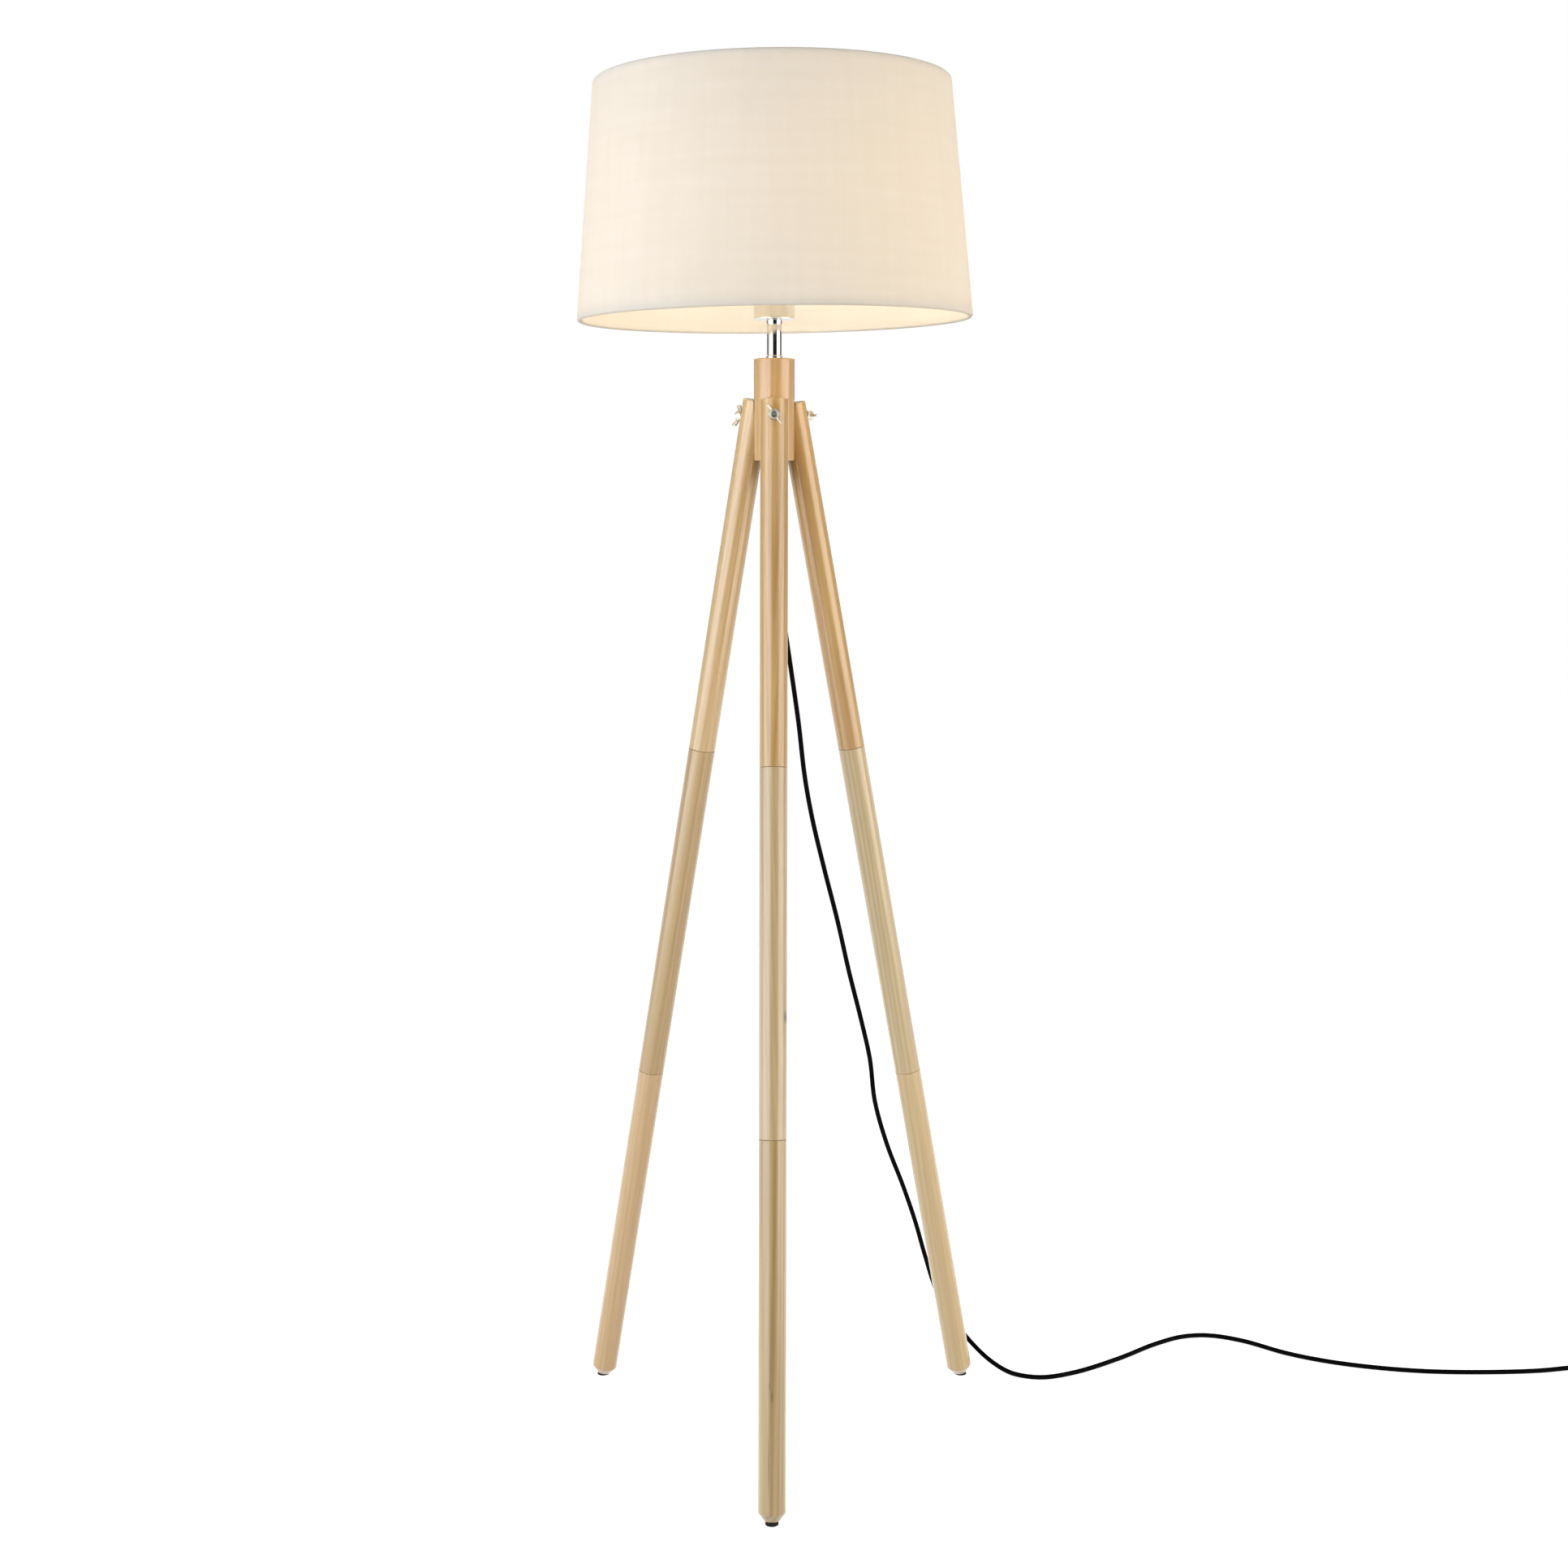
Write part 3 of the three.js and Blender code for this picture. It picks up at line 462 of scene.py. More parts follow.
def smooth_path(points, steps=6):
    """Points on the centripetal Catmull-Rom curve through the given ones."""
    points = [Vector(p) for p in points]
    padded = [2 * points[0] - points[1], *points, 2 * points[-1] - points[-2]]
    path = []
    for a, b, c, d in zip(padded, padded[1:], padded[2:], padded[3:]):
        t0 = 0.0
        t1 = t0 + (b - a).length ** 0.5
        t2 = t1 + (c - b).length ** 0.5
        t3 = t2 + (d - c).length ** 0.5
        for k in range(steps):
            t = t1 + (t2 - t1) * k / steps
            ab = a.lerp(b, (t - t0) / (t1 - t0))
            bc = b.lerp(c, (t - t1) / (t2 - t1))
            cd = c.lerp(d, (t - t2) / (t3 - t2))
            abc = ab.lerp(bc, (t - t0) / (t2 - t0))
            bcd = bc.lerp(cd, (t - t1) / (t3 - t1))
            path.append(abc.lerp(bcd, (t - t1) / (t2 - t1)))
    path.append(points[-1])
    return path


def tube(name, path, radius, material, sides=5):
    """A round tube of one open spline along points in metres."""
    curve = bpy.data.curves.new(name, "CURVE")
    curve.dimensions = "3D"
    curve.bevel_depth = radius
    curve.bevel_resolution = sides
    curve.use_fill_caps = True
    spline = curve.splines.new("POLY")
    spline.points.add(len(path) - 1)
    for point, place in zip(spline.points, path):
        point.co = (*place, 1)
    spline.use_smooth = True
    curve.materials.append(material)
    return add_object(name, curve)


def piece(obj, body, slot, *nodes):
    """Says which body a piece rides on and which CAD nodes it stands for, and hides those nodes. Its slot,
    where its finish would come from, is not used.
    """
    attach(obj, body)
    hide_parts(*nodes)


def turned_part(node, suffix, profile, material, slot, segments,
                steps=4, closed=True, place=ON_AXIS, body="root"):
    """A part turned about one axis, in place of its CAD node."""
    made = lathe(f"{node}_{suffix}", profile, material, segments, closed, steps)
    made.matrix_world = place
    piece(made, body, slot, node)


def heights(node):
    """A node's lowest and highest level, in millimetres."""
    low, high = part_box(node)
    return low.z / MM, high.z / MM


# ---------------------------------------------------------------- cords

CORD_RADIUS = 0.00275
CORD_LEVEL = 0.00285  # centre of a cord that lies on the floor
COIL_RADIUS = 0.0275
COIL_SLACK = 0.0006  # the turns wander in and out by this much
COIL_TURNS = 2.25
COIL_POINTS = 24  # for each turn
coil_centre = middle("cord_coil")

# The same route as the CAD lead's: metres from the foot of the hub's axis.
LEAD_ROUTE = [
    (0, 0, 1.0717),
    (0, 0, 1.052),
    (0.001, 0.001, 1.025),
    (0.005, 0.004, 0.975),
    (0.011, 0.009, 0.925),
    (0.019, 0.016, 0.870),
    (0.028, 0.023, 0.806),
    (0.035, 0.029, 0.745),
    (0.044, 0.037, 0.694),
    (0.058, 0.049, 0.634),
    (0.074, 0.062, 0.570),
    (0.088, 0.074, 0.507),
    (0.103, 0.087, 0.446),
    (0.114, 0.096, 0.396),
    (0.120, 0.101, 0.345),
    (0.135, 0.115, 0.289),
    (0.156, 0.133, 0.231),
    (0.172, 0.147, 0.182),
    (0.185, 0.158, 0.135),
    (0.200, 0.166, 0.088),
    (0.219, 0.169, 0.054),
    (0.240, 0.163, 0.028),
    (0.262, 0.147, 0.011),
    (0.284, 0.127, 0.0036),
    (0.302, 0.116, CORD_LEVEL),
    (0.326, 0.112, CORD_LEVEL),
    (0.366, 0.127, CORD_LEVEL),
    (0.425, 0.168, CORD_LEVEL),
    (0.478, 0.213, CORD_LEVEL),
    (0.518, 0.237, CORD_LEVEL),
    (0.552, 0.240, CORD_LEVEL),
    (0.590, 0.223, CORD_LEVEL),
    (0.635, 0.185, CORD_LEVEL),
    (0.679, 0.160, CORD_LEVEL),
    (0.730, 0.142, CORD_LEVEL),
    (0.790, 0.130, CORD_LEVEL),
    (0.860, 0.127, CORD_LEVEL),
    (0.930, 0.131, 0.003),
    (0.975, 0.1346, 0.0056),
    (0.9951, 0.135, 0.0066),
]
RUN_ROUTE = [
    (1.1169, 0.135, 0.0066),
    (1.1259, 0.135, 0.0052),
    (1.1388, 0.138, 0.0034),
    (1.1468, 0.1396, CORD_LEVEL),
]
TAIL_ROUTE = [
    (1.1913, 0.0945, 0.013),
    (1.1917, 0.0785, 0.011),
    (1.1917, 0.0595, 0.0082),
    (1.1917, 0.0458, 0.0073),
]


def coil_route():
    """Turns laid on each other, clockwise seen from above, from the coil's +Y side to its +X side."""
    points = []
    for i in range(int(COIL_TURNS * COIL_POINTS) + 1):
        turns = i / COIL_POINTS
        angle = math.pi / 2 - 2 * math.pi * turns
        radius = COIL_RADIUS + COIL_SLACK * math.sin(2.4 * math.pi * turns)
        way = Vector((math.cos(angle), math.sin(angle), 0))
        height = CORD_LEVEL + 2 * CORD_RADIUS * turns
        points.append(Vector((coil_centre.x, coil_centre.y, height)) + radius * way)
    return points


lead_path = smooth_path([from_axis(p) for p in LEAD_ROUTE])
run, tail = ([from_axis(p) for p in route] for route in (RUN_ROUTE, TAIL_ROUTE))
spare_path = smooth_path([*run, *coil_route(), *tail], 4)
lead = tube("cord_lead_sheath", lead_path, CORD_RADIUS, CORD_BLACK)
piece(lead, "root", "cord_sheath", "cord_lead")
spare = tube("cord_spare_sheath", spare_path, CORD_RADIUS, CORD_BLACK)
piece(spare, "root", "cord_sheath", "cord_run", "cord_coil", "cord_tail")

# ---------------------------------------------------------------- floor and light


def make_floor():
    surface = Surface("studio_floor", Roughness=0.9, Emission_Strength=0.72, Emission_Color=(1, 1, 1, 1))
    surface.set("Base Color", surface.mix(surface.noise(3), colour("f4f4f3"), colour("fafafa")))
    bm = bmesh.new()
    bmesh.ops.create_grid(bm, x_segments=2, y_segments=2, size=20)
    floor = finish_mesh("studio_floor", bm, [surface.material])
    floor.visible_diffuse = False


def point_at(obj, place, aim):
    obj.location = place
    obj.rotation_euler = (aim - place).to_track_quat("-Z", "Y").to_euler()


def panel_light(name, place, aim, width, height, power, tint):
    data = bpy.data.lights.new(name, "AREA")
    data.shape = "RECTANGLE"
    data.size, data.size_y = width, height
    data.energy = power
    data.color = tint
    made = add_object(name, data)
    point_at(made, place, aim)
    made.visible_camera = False


def make_world(ambient, backdrop):
    """An even pale room. The backdrop is what shows behind the lamp."""
    world = bpy.data.worlds.new("studio")
    bpy.context.scene.world = world
    world.use_nodes = True
    tree = world.node_tree
    tree.nodes.clear()
    white = (1, 1, 1, 1)
    room = add_node(tree, "Background", {"Color": white, "Strength": ambient}).outputs["Background"]
    seen = add_node(tree, "Background", {"Color": white, "Strength": backdrop}).outputs["Background"]
    looked_at = add_node(tree, "LightPath").outputs["Is Camera Ray"]
    choice = add_node(tree, "MixShader", {0: looked_at, 1: room, 2: seen}).outputs["Shader"]
    add_node(tree, "OutputWorld", {"Surface": choice})


def dark_card(name, place, aim, width, height):
    """A black card that the polished metal and the wood's dark middle get their contrast from."""
    surface = Surface(name, Roughness=1.0)
    surface.set("Base Color", surface.mix(surface.noise(2), colour("050505"), colour("080808")))
    bm = bmesh.new()
    bmesh.ops.create_grid(bm, x_segments=1, y_segments=1, size=0.5)
    card = finish_mesh(name, bm, [surface.material])
    card.scale = (width, height, 1)
    point_at(card, place, aim)
    card.visible_camera = False
    card.visible_shadow = False


def round_about(degrees, distance, height):
    """A place round the lamp, counted from straight in front of it towards its right."""
    a = math.radians(degrees)
    return from_axis((distance * math.sin(a), -distance * math.cos(a), height))


make_floor()
make_world(ambient=0.3, backdrop=1.0)
target = from_axis((0, 0, 0.9))
panel_light("panel_left", round_about(-55, 2.9, 1.2), target, 3.4, 2.6, 80, (0.94, 0.98, 1.05))
panel_light("panel_right", round_about(66, 2.9, 1.2), target, 2.6, 2.6, 62, (1.0, 0.95, 0.87))
dark_card("front_card", round_about(10, 3.2, 1.1), target, 3.5, 3.0)
bpy.context.scene.view_settings.view_transform = "Standard"

# ---------------------------------------------------------------- hub

HUB_RADIUS = 23.0
FLAT_DISTANCE = 17.0  # from the hub's axis to each of its three flats
FLAT_TOP = 1176.5  # the ledge that each leg tucks under
STUD_HEIGHT = 1159.0
STUD_HOLE = 3.3
STUD_END = 7.2  # how near the hub's axis the stud's hole comes
COUNTERBORE = (11.0, 18.0)  # radius, depth
STEM_BORE = 5.3
CUT_WIDE = 60.0  # cutting blocks are wider than what they cut
CUT_PAST = 5.0  # and reach past its end
SIDES = ("front", "left", "right")


def outward(side):
    """Unit vector from the hub's axis to a leg's washer."""
    way = middle(f"washer_{side}") - AXIS
    way.z = 0
    return way.normalized()


def outward_frame(side, height):
    """Local Z points outward at a height on the hub's axis, and local Y up."""
    way = outward(side)
    tangent = UP.cross(way)
    matrix = Matrix((tangent, UP, way)).transposed().to_4x4()
    matrix.translation = AXIS + UP * height * MM
    return matrix


def make_hub():
    bottom, top = heights("hub")
    bore, depth = COUNTERBORE
    hub = lathe("hub_turned", [
        (STEM_BORE, bottom + depth), (bore, bottom + depth), (bore, bottom, 0.5),
        (HUB_RADIUS, bottom, 0.8), (HUB_RADIUS, top, 1.6), (STEM_BORE, top, 0.4),
    ], WOOD_HUB, 96, closed=True)
    hub.matrix_world = ON_AXIS
    cutters = []
    height = FLAT_TOP - bottom + CUT_PAST
    slab = 20.0
    for side in SIDES:
        level = outward_frame(side, FLAT_TOP - height / 2)
        cutters.append(block((CUT_WIDE, height, slab), (0, 0, FLAT_DISTANCE + slab / 2), level))
        cutters.append(peg(STUD_HOLE, STUD_END, FLAT_DISTANCE + 2, outward_frame(side, STUD_HEIGHT)))
    cut(hub, *cutters)
    piece(hub, "root", "honey_wood", "hub")


# ---------------------------------------------------------------- legs

LEG_TOP_RADIUS = 15.6
LEG_FOOT_RADIUS = 14.65
JOINT_GAP = 0.3
HUB_GAP = 1.6  # the shadow line between the hub and each leg
SEAT_DISTANCE = 40.8  # from the hub's axis to the washer's seat on the leg
SEAT_RADIUS = 6.8
PAD_RADIUS = 7.0
PAD_TOP = 2.9
TOE_RADIUS = 8.1  # the lowest section's chamfered end
TOE_HEIGHT = 8.4
JOINT_EDGE = 0.5  # how much the sections' edges are rounded
SCREW_BORE = (4.3, 26.0)  # radius, depth
PAD_HOLE = (2.8, 18.0)  # radius, height
PAD_STEM = (2.5, 17.0)


def leg_frame(side):
    """Origin where the leg's axis meets the floor, local Z along the leg, local X outward."""
    low, high = middle(f"joint_screw_{side}_lower"), middle(f"joint_screw_{side}_upper")
    along = (high - low).normalized()
    across = along.cross(outward(side)).normalized()
    matrix = Matrix((across.cross(along), across, along)).transposed().to_4x4()
    matrix.translation = low - along * (low.z / along.z)
    joints = [(p - matrix.translation).length / MM for p in (low, high)]
    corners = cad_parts[f"leg_{side}_upper"].data.vertices
    length = max((v.co - matrix.translation).dot(along) for v in corners) / MM
    return SimpleNamespace(side=side, matrix=matrix, joints=joints, length=length)


def leg_radius(leg, s):
    return LEG_FOOT_RADIUS + (LEG_TOP_RADIUS - LEG_FOOT_RADIUS) * s / leg.length


def screw_bore(s, direction):
    radius, depth = SCREW_BORE
    return [(0, s + direction * depth), (radius, s + direction * depth), (radius, s, 0.3)]


def make_leg(leg):
    lower_joint, upper_joint = leg.joints
    half = JOINT_GAP / 2
    bottom = PAD_TOP + JOINT_GAP
    chamfer_top = bottom + TOE_HEIGHT
    hole, hole_top = PAD_HOLE
    lower = [
        (0, hole_top), (hole, hole_top), (hole, bottom, 0.3), (TOE_RADIUS, bottom, 0.5),
        (leg_radius(leg, chamfer_top), chamfer_top, 0.6),
        (leg_radius(leg, lower_joint), lower_joint - half, JOINT_EDGE),
        *reversed(screw_bore(lower_joint - half, -1)),
    ]
    middle_part = [
        *screw_bore(lower_joint + half, 1),
        (leg_radius(leg, lower_joint), lower_joint + half, JOINT_EDGE),
        (leg_radius(leg, upper_joint), upper_joint - half, JOINT_EDGE),
        *reversed(screw_bore(upper_joint - half, -1)),
    ]
    upper = [
        *screw_bore(upper_joint + half, 1),
        (leg_radius(leg, upper_joint), upper_joint + half, JOINT_EDGE),
        (LEG_TOP_RADIUS, leg.length, 1.2), (0, leg.length),
    ]
    profiles = {"lower": lower, "middle": middle_part, "upper": upper}
    slots = ("tan_wood", "pale_wood", "honey_wood")
    for (part, profile), slot in zip(profiles.items(), slots):
        stock = WOODS[f"{leg.side}_{part}"]
        section = lathe(f"leg_{leg.side}_{part}_turned", profile, stock, 72, steps=3)
        section.matrix_world = leg.matrix
        if part == "upper":
            fit_to_hub(section, leg.side)
        piece(section, "root", slot, f"leg_{leg.side}_{part}")


def fit_to_hub(section, side):
    """Cuts the flat that lies against the hub, the stud's hole and the washer's seat."""
    at_stud = outward_frame(side, STUD_HEIGHT)
    flat_centre = (0, 0.75 * CUT_WIDE, FLAT_DISTANCE + HUB_GAP - CUT_WIDE / 2)
    flat = block((CUT_WIDE, 2 * CUT_WIDE, CUT_WIDE), flat_centre, outward_frame(side, heights("hub")[0]))
    hole = peg(STUD_HOLE, 0, CUT_WIDE, at_stud)
    seat = peg(SEAT_RADIUS, SEAT_DISTANCE, SEAT_DISTANCE + 2 * CUT_PAST, at_stud)
    cut(section, flat, hole, seat)


def make_foot_pad(leg):
    below = -3  # the leaning pad is cut off level with the floor
    stem, stem_top = PAD_STEM
    pad = lathe(f"foot_pad_{leg.side}_rubber", [
        (0, below), (PAD_RADIUS, below), (PAD_RADIUS, PAD_TOP, 0.6), (stem, PAD_TOP),
        (stem, stem_top, 0.5), (0, stem_top),
    ], RUBBER, 40)
    pad.matrix_world = leg.matrix
    foot = leg.matrix.translation
    under_floor = block((CUT_WIDE, CUT_WIDE, 40), (0, 0, -20), Matrix.Translation((foot.x, foot.y, 0)))
    cut(pad, under_floor)
    piece(pad, "root", "rubber", f"foot_pad_{leg.side}")


# ---------------------------------------------------------------- wing nuts, washers and studs

NUT_BORE = 3.3
NUT_RADIUS = 5.3
NUT_HEIGHT = 7.0
WASHER_RADIUS = 6.3
STUD_RADIUS = 3.0
STUD_PITCH = 1.0
STUD_THREAD_DEPTH = 0.35
# A wing's sections from root to tip: how far out, height of its middle, half height, half thickness.
WING_SECTIONS = [
    (3.2, 3.4, 2.6, 1.6),
    (5.4, 3.8, 2.4, 1.45),
    (7.4, 4.6, 2.5, 1.35),
    (9.2, 5.6, 2.8, 1.35),
    (10.8, 6.3, 3.0, 1.4),
    (12.0, 6.8, 3.0, 1.45),
    (13.0, 7.0, 2.8, 1.4),
    (13.5, 7.1, 2.2, 1.1),
]


def squared_circle(count, power):
    """Points of a circle of radius 1, pushed towards a square where power is less than 1."""
    corners = [(math.cos(a), math.sin(a)) for a in circle(count)]
    return [[math.copysign(abs(c) ** power, c) for c in corner] for corner in corners]


def wing_rings(side):
    rings = []
    for x, z, tall, thick in WING_SECTIONS:
        rings.append([(side * x, side * thick * c, z + tall * s) for c, s in squared_circle(20, 0.7)])
    return rings


def make_wing_nut(side):
    bm = bmesh.new()
    revolve(bm, [
        (NUT_BORE, 0, 0.4), (NUT_RADIUS, 0, 0.3), (NUT_RADIUS + 0.1, 2.0, 0.6),
        (NUT_RADIUS, NUT_HEIGHT, 1.0), (NUT_BORE, NUT_HEIGHT, 0.9),
    ], 40, closed=True)
    for hand in (1, -1):
        loft(bm, wing_rings(hand))
    nut = finish_mesh(f"wing_nut_{side}_cast", bm, [ZINC])
    blend = nut.modifiers.new("cast_in_one", "REMESH")
    blend.mode = "VOXEL"
    blend.voxel_size = 0.0003
    even = nut.modifiers.new("tumbled", "SMOOTH")
    even.factor = 0.5
    even.iterations = 4
    settle(nut)
    nut.data.shade_smooth()
    nut.matrix_world = nut_frame(side)
    piece(nut, f"wing_nut_{side}", "zinc_steel", f"wing_nut_{side}")


def nut_frame(side):
    """Local Z points outward from the seat of the CAD nut, and local X along its wings."""
    at_stud = outward_frame(side, STUD_HEIGHT)
    local = [at_stud.inverted() @ v.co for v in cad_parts[f"wing_nut_{side}"].data.vertices]
    base = min(p.z for p in local)
    span = max(p.xy.length for p in local)
    tips = [p.xy for p in local if p.xy.length > 0.98 * span]
    one_wing = sum((p for p in tips if p.dot(tips[0]) > 0), Vector((0, 0)))
    turn = math.atan2(one_wing.y, one_wing.x)
    return at_stud @ Matrix.Translation((0, 0, base)) @ Matrix.Rotation(turn, 4, "Z")


def thread(radius, pitch, z0, z1, depth):
    """The wavy side of a screw, as a profile of rings from z0 to z1."""
    rows = []
    count = int((z1 - z0) / pitch)
    for i in range(count):
        z = z0 + i * pitch
        rows += [(radius - depth, z), (radius, z + 0.35 * pitch), (radius, z + 0.6 * pitch)]
    return rows


def make_fastening(side):
    at_stud = outward_frame(side, STUD_HEIGHT)
    low, high = outward_extent(f"washer_{side}", side)
    turned_part(f"washer_{side}", "pressed", [
        (STUD_HOLE, 0, 0.15), (WASHER_RADIUS, 0, 0.15), (WASHER_RADIUS, high - low, 0.35),
        (STUD_HOLE, high - low, 0.15),
    ], ZINC, "zinc_steel", 48, place=at_stud @ Matrix.Translation((0, 0, low * MM)))
    low, high = outward_extent(f"stud_{side}", side)
    turned_part(f"stud_{side}", "threaded", [
        (0, low), (STUD_RADIUS - 0.4, low),
        *thread(STUD_RADIUS, STUD_PITCH, low + 0.5, high - 0.8, STUD_THREAD_DEPTH),
        (STUD_RADIUS - 0.5, high - 0.3), (STUD_RADIUS - 0.9, high), (0, high),
    ], ZINC, "zinc_steel", 32, closed=False, place=at_stud)


def outward_extent(node, side):
    """A node's least and greatest distance from the hub's axis along a leg's outward way, in millimetres."""
    way = outward(side)
    reach = [(v.co - AXIS).dot(way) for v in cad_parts[node].data.vertices]
    return min(reach) / MM, max(reach) / MM


# ---------------------------------------------------------------- chromed tube and cup

TUBE_RADIUS = 8.35
TUBE_WALL = 1.2
RING_RADIUS = 9.15
COLLAR_FOOT = 8.55  # the collar narrows downwards to this radius
CUP_RADIUS = 23.25
CUP_WALL = 0.9
CUP_FLOOR = 1.2


def make_stem():
    low, high = heights("base_ring")
    turned_part("base_ring", "polished", [
        (STEM_BORE, low), (RING_RADIUS, low, 0.3), (RING_RADIUS, high, 1.0), (STEM_BORE, high),
    ], CHROME, "chrome", 72)
    low, high = heights("tube")
    turned_part("tube", "polished", [
        (TUBE_RADIUS - TUBE_WALL, low), (TUBE_RADIUS, low, 0.3), (TUBE_RADIUS, high, 0.3),
        (TUBE_RADIUS - TUBE_WALL, high),
    ], CHROME, "chrome", 96)
    low, high = heights("collar")
    turned_part("collar", "polished", [
        (STEM_BORE, low), (COLLAR_FOOT, low, 0.3), (RING_RADIUS, high, 0.6), (STEM_BORE, high),
    ], CHROME, "chrome", 72)
    low, high = heights("holder_cup")
    turned_part("holder_cup", "polished", [
        (STEM_BORE, low + CUP_FLOOR), (STEM_BORE, low, 0.2), (CUP_RADIUS, low, 1.0),
        (CUP_RADIUS, high, 0.35), (CUP_RADIUS - CUP_WALL, high, 0.35),
        (CUP_RADIUS - CUP_WALL, low + CUP_FLOOR, 0.3),
    ], CHROME, "chrome", 112, steps=8)


# ---------------------------------------------------------------- lampholder and bulb

SKIRT_RADIUS = 19.4
SKIRT_BORE = 15.6
SKIRT_IN_CUP = 21.9  # radius of the part that sits inside the cup
FLANGE_HEIGHT = 3.0
SKIRT_PITCH = 2.3
CLAMP_RADIUS = 27.0
CLAMP_RIBS = 36
CAP_RADIUS = 13.2  # the bulb's screw cap
CAP_PITCH = 3.2
CAP_TURNS = 6
BALL_RADIUS = 30.0
NECK_RADIUS = 14.4
GLASS_WALL = 1.0


def make_holder():
    low, high = heights("holder_skirt")
    cup_top = heights("holder_cup")[1]
    seat = cup_top + JOINT_GAP
    flange_top = cup_top + FLANGE_HEIGHT
    turned_part("holder_skirt", "moulded", [
        (SKIRT_BORE, low), (SKIRT_IN_CUP, low, 0.3), (SKIRT_IN_CUP, seat), (CUP_RADIUS, seat, 0.3),
        (CUP_RADIUS, flange_top, 0.5), (SKIRT_RADIUS, flange_top),
        *thread(SKIRT_RADIUS, SKIRT_PITCH, flange_top + 0.4, high - 1.2, 0.7),
        (SKIRT_RADIUS - 0.3, high, 0.4), (SKIRT_BORE, high, 0.4),
    ], HOLDER, "holder_plastic", 96)


def make_clamp_ring():
    """The ring that screws down on the shade's fitter, with grip ribs round it."""
    low, high = heights("shade_clamp_ring")
    rib_wave = [0.0, 0.35, 0.5, 0.35]  # how far the grip stands out, at steps round one rib
    turn = circle(CLAMP_RIBS * len(rib_wave))
    bore = SKIRT_RADIUS + JOINT_GAP
    rows = [  # radius, height, and how much of the rib's wave is on it
        (bore, low, 0), (CLAMP_RADIUS - 0.8, low, 0), (CLAMP_RADIUS - 0.1, low + 0.6, 0.6),
        (CLAMP_RADIUS, low + 1.4, 1), (CLAMP_RADIUS, high - 1.2, 1),
        (CLAMP_RADIUS - 0.3, high - 0.4, 0.6), (CLAMP_RADIUS - 1.2, high, 0), (bore + 0.5, high, 0),
        (bore, high - 0.5, 0),
    ]
    rings = []
    for radius, z, rib in rows:
        reach = [radius + rib * rib_wave[i % len(rib_wave)] for i in range(len(turn))]
        rings.append([(r * math.cos(a), r * math.sin(a), z) for r, a in zip(reach, turn)])
    bm = bmesh.new()
    add_rings(bm, rings, closed=True)
    ring = finish_mesh("shade_clamp_ring_moulded", bm, [HOLDER], 50)
    ring.matrix_world = ON_AXIS
    piece(ring, "clamp_ring", "holder_plastic", "shade_clamp_ring")


def make_bulb():
    low, high = heights("bulb_cap")
    crests = []
    for i in range(CAP_TURNS):
        z = low + 5.2 + CAP_PITCH * i
        crests += [(CAP_RADIUS - 0.9, z, 0.8), (CAP_RADIUS, z + CAP_PITCH / 2, 1.0)]
    turned_part("bulb_cap", "pressed", [
        (0, low), (4.6, low, 0.8), (5.2, low + 1.4), (11.4, low + 4.2, 1.0), *crests,
        (CAP_RADIUS - 0.7, high - 1.6, 0.5), (CAP_RADIUS + 0.5, high, 0.3),
        (CAP_RADIUS - 0.2, high), (CAP_RADIUS - 1.2, high - 2), (0, high - 2),
    ], CAP_METAL, "bulb_metal", 64, closed=False, body="bulb")

    low, high = heights("bulb_glass")
    centre = high - BALL_RADIUS
    neck = [(0, 0), (0.3, 6), (2.2, 15), (6.6, 25)]
    outside = [(NECK_RADIUS + wider, low + up) for wider, up in neck]
    shoulder = math.radians(-36)
    steps = 22
    for i in range(steps):
        angle = shoulder + (math.pi / 2 - shoulder) * i / steps
        outside.append((BALL_RADIUS * math.cos(angle), centre + BALL_RADIUS * math.sin(angle)))
    outside.append((0, high))
    inside = [(max(r - GLASS_WALL, 0), min(z, high - GLASS_WALL)) for r, z in reversed(outside)]
    turned_part("bulb_glass", "frosted", inside + outside, BULB, "bulb_glass", 72, closed=False, body="bulb")


# ---------------------------------------------------------------- shade

SHADE_BOTTOM_RADIUS = 222.5
SHADE_TOP_RADIUS = 201.0
SHADE_HEIGHT = 264.0
SHADE_TILT = math.radians(0.7)
CLOTH_THICKNESS = 0.7
WIRE_RADIUS = 1.6
RING_INSET = 3.1  # from the shade's outer wall to the middle of its ring wires
RING_RISE = 1.9  # from the shade's edge to the middle of its ring wire
FITTER_BELOW_CLAMP = 2.6
FITTER_RADIUS = 33.0
FITTER_THICKNESS = 1.8
TURN_IN = 5.5  # how far the cloth's edge is turned in behind each ring
shade_pivot = AXIS + UP * (heights("shade_clamp_ring")[0] - FITTER_BELOW_CLAMP) * MM
SHADE_FRAME = Matrix.Translation(shade_pivot) @ Matrix.Rotation(-SHADE_TILT, 4, "Y")
SHADE_BOTTOM = 1266.4 - shade_pivot.z / MM
SHADE_SEAM = math.pi / 2  # the cloth's lap joint is at the back
SEAM_LAP = 0.055  # radians that the cloth overlaps itself there
SEAM_LIFT = 0.45
ARC_STEPS = 12  # round each ring wire


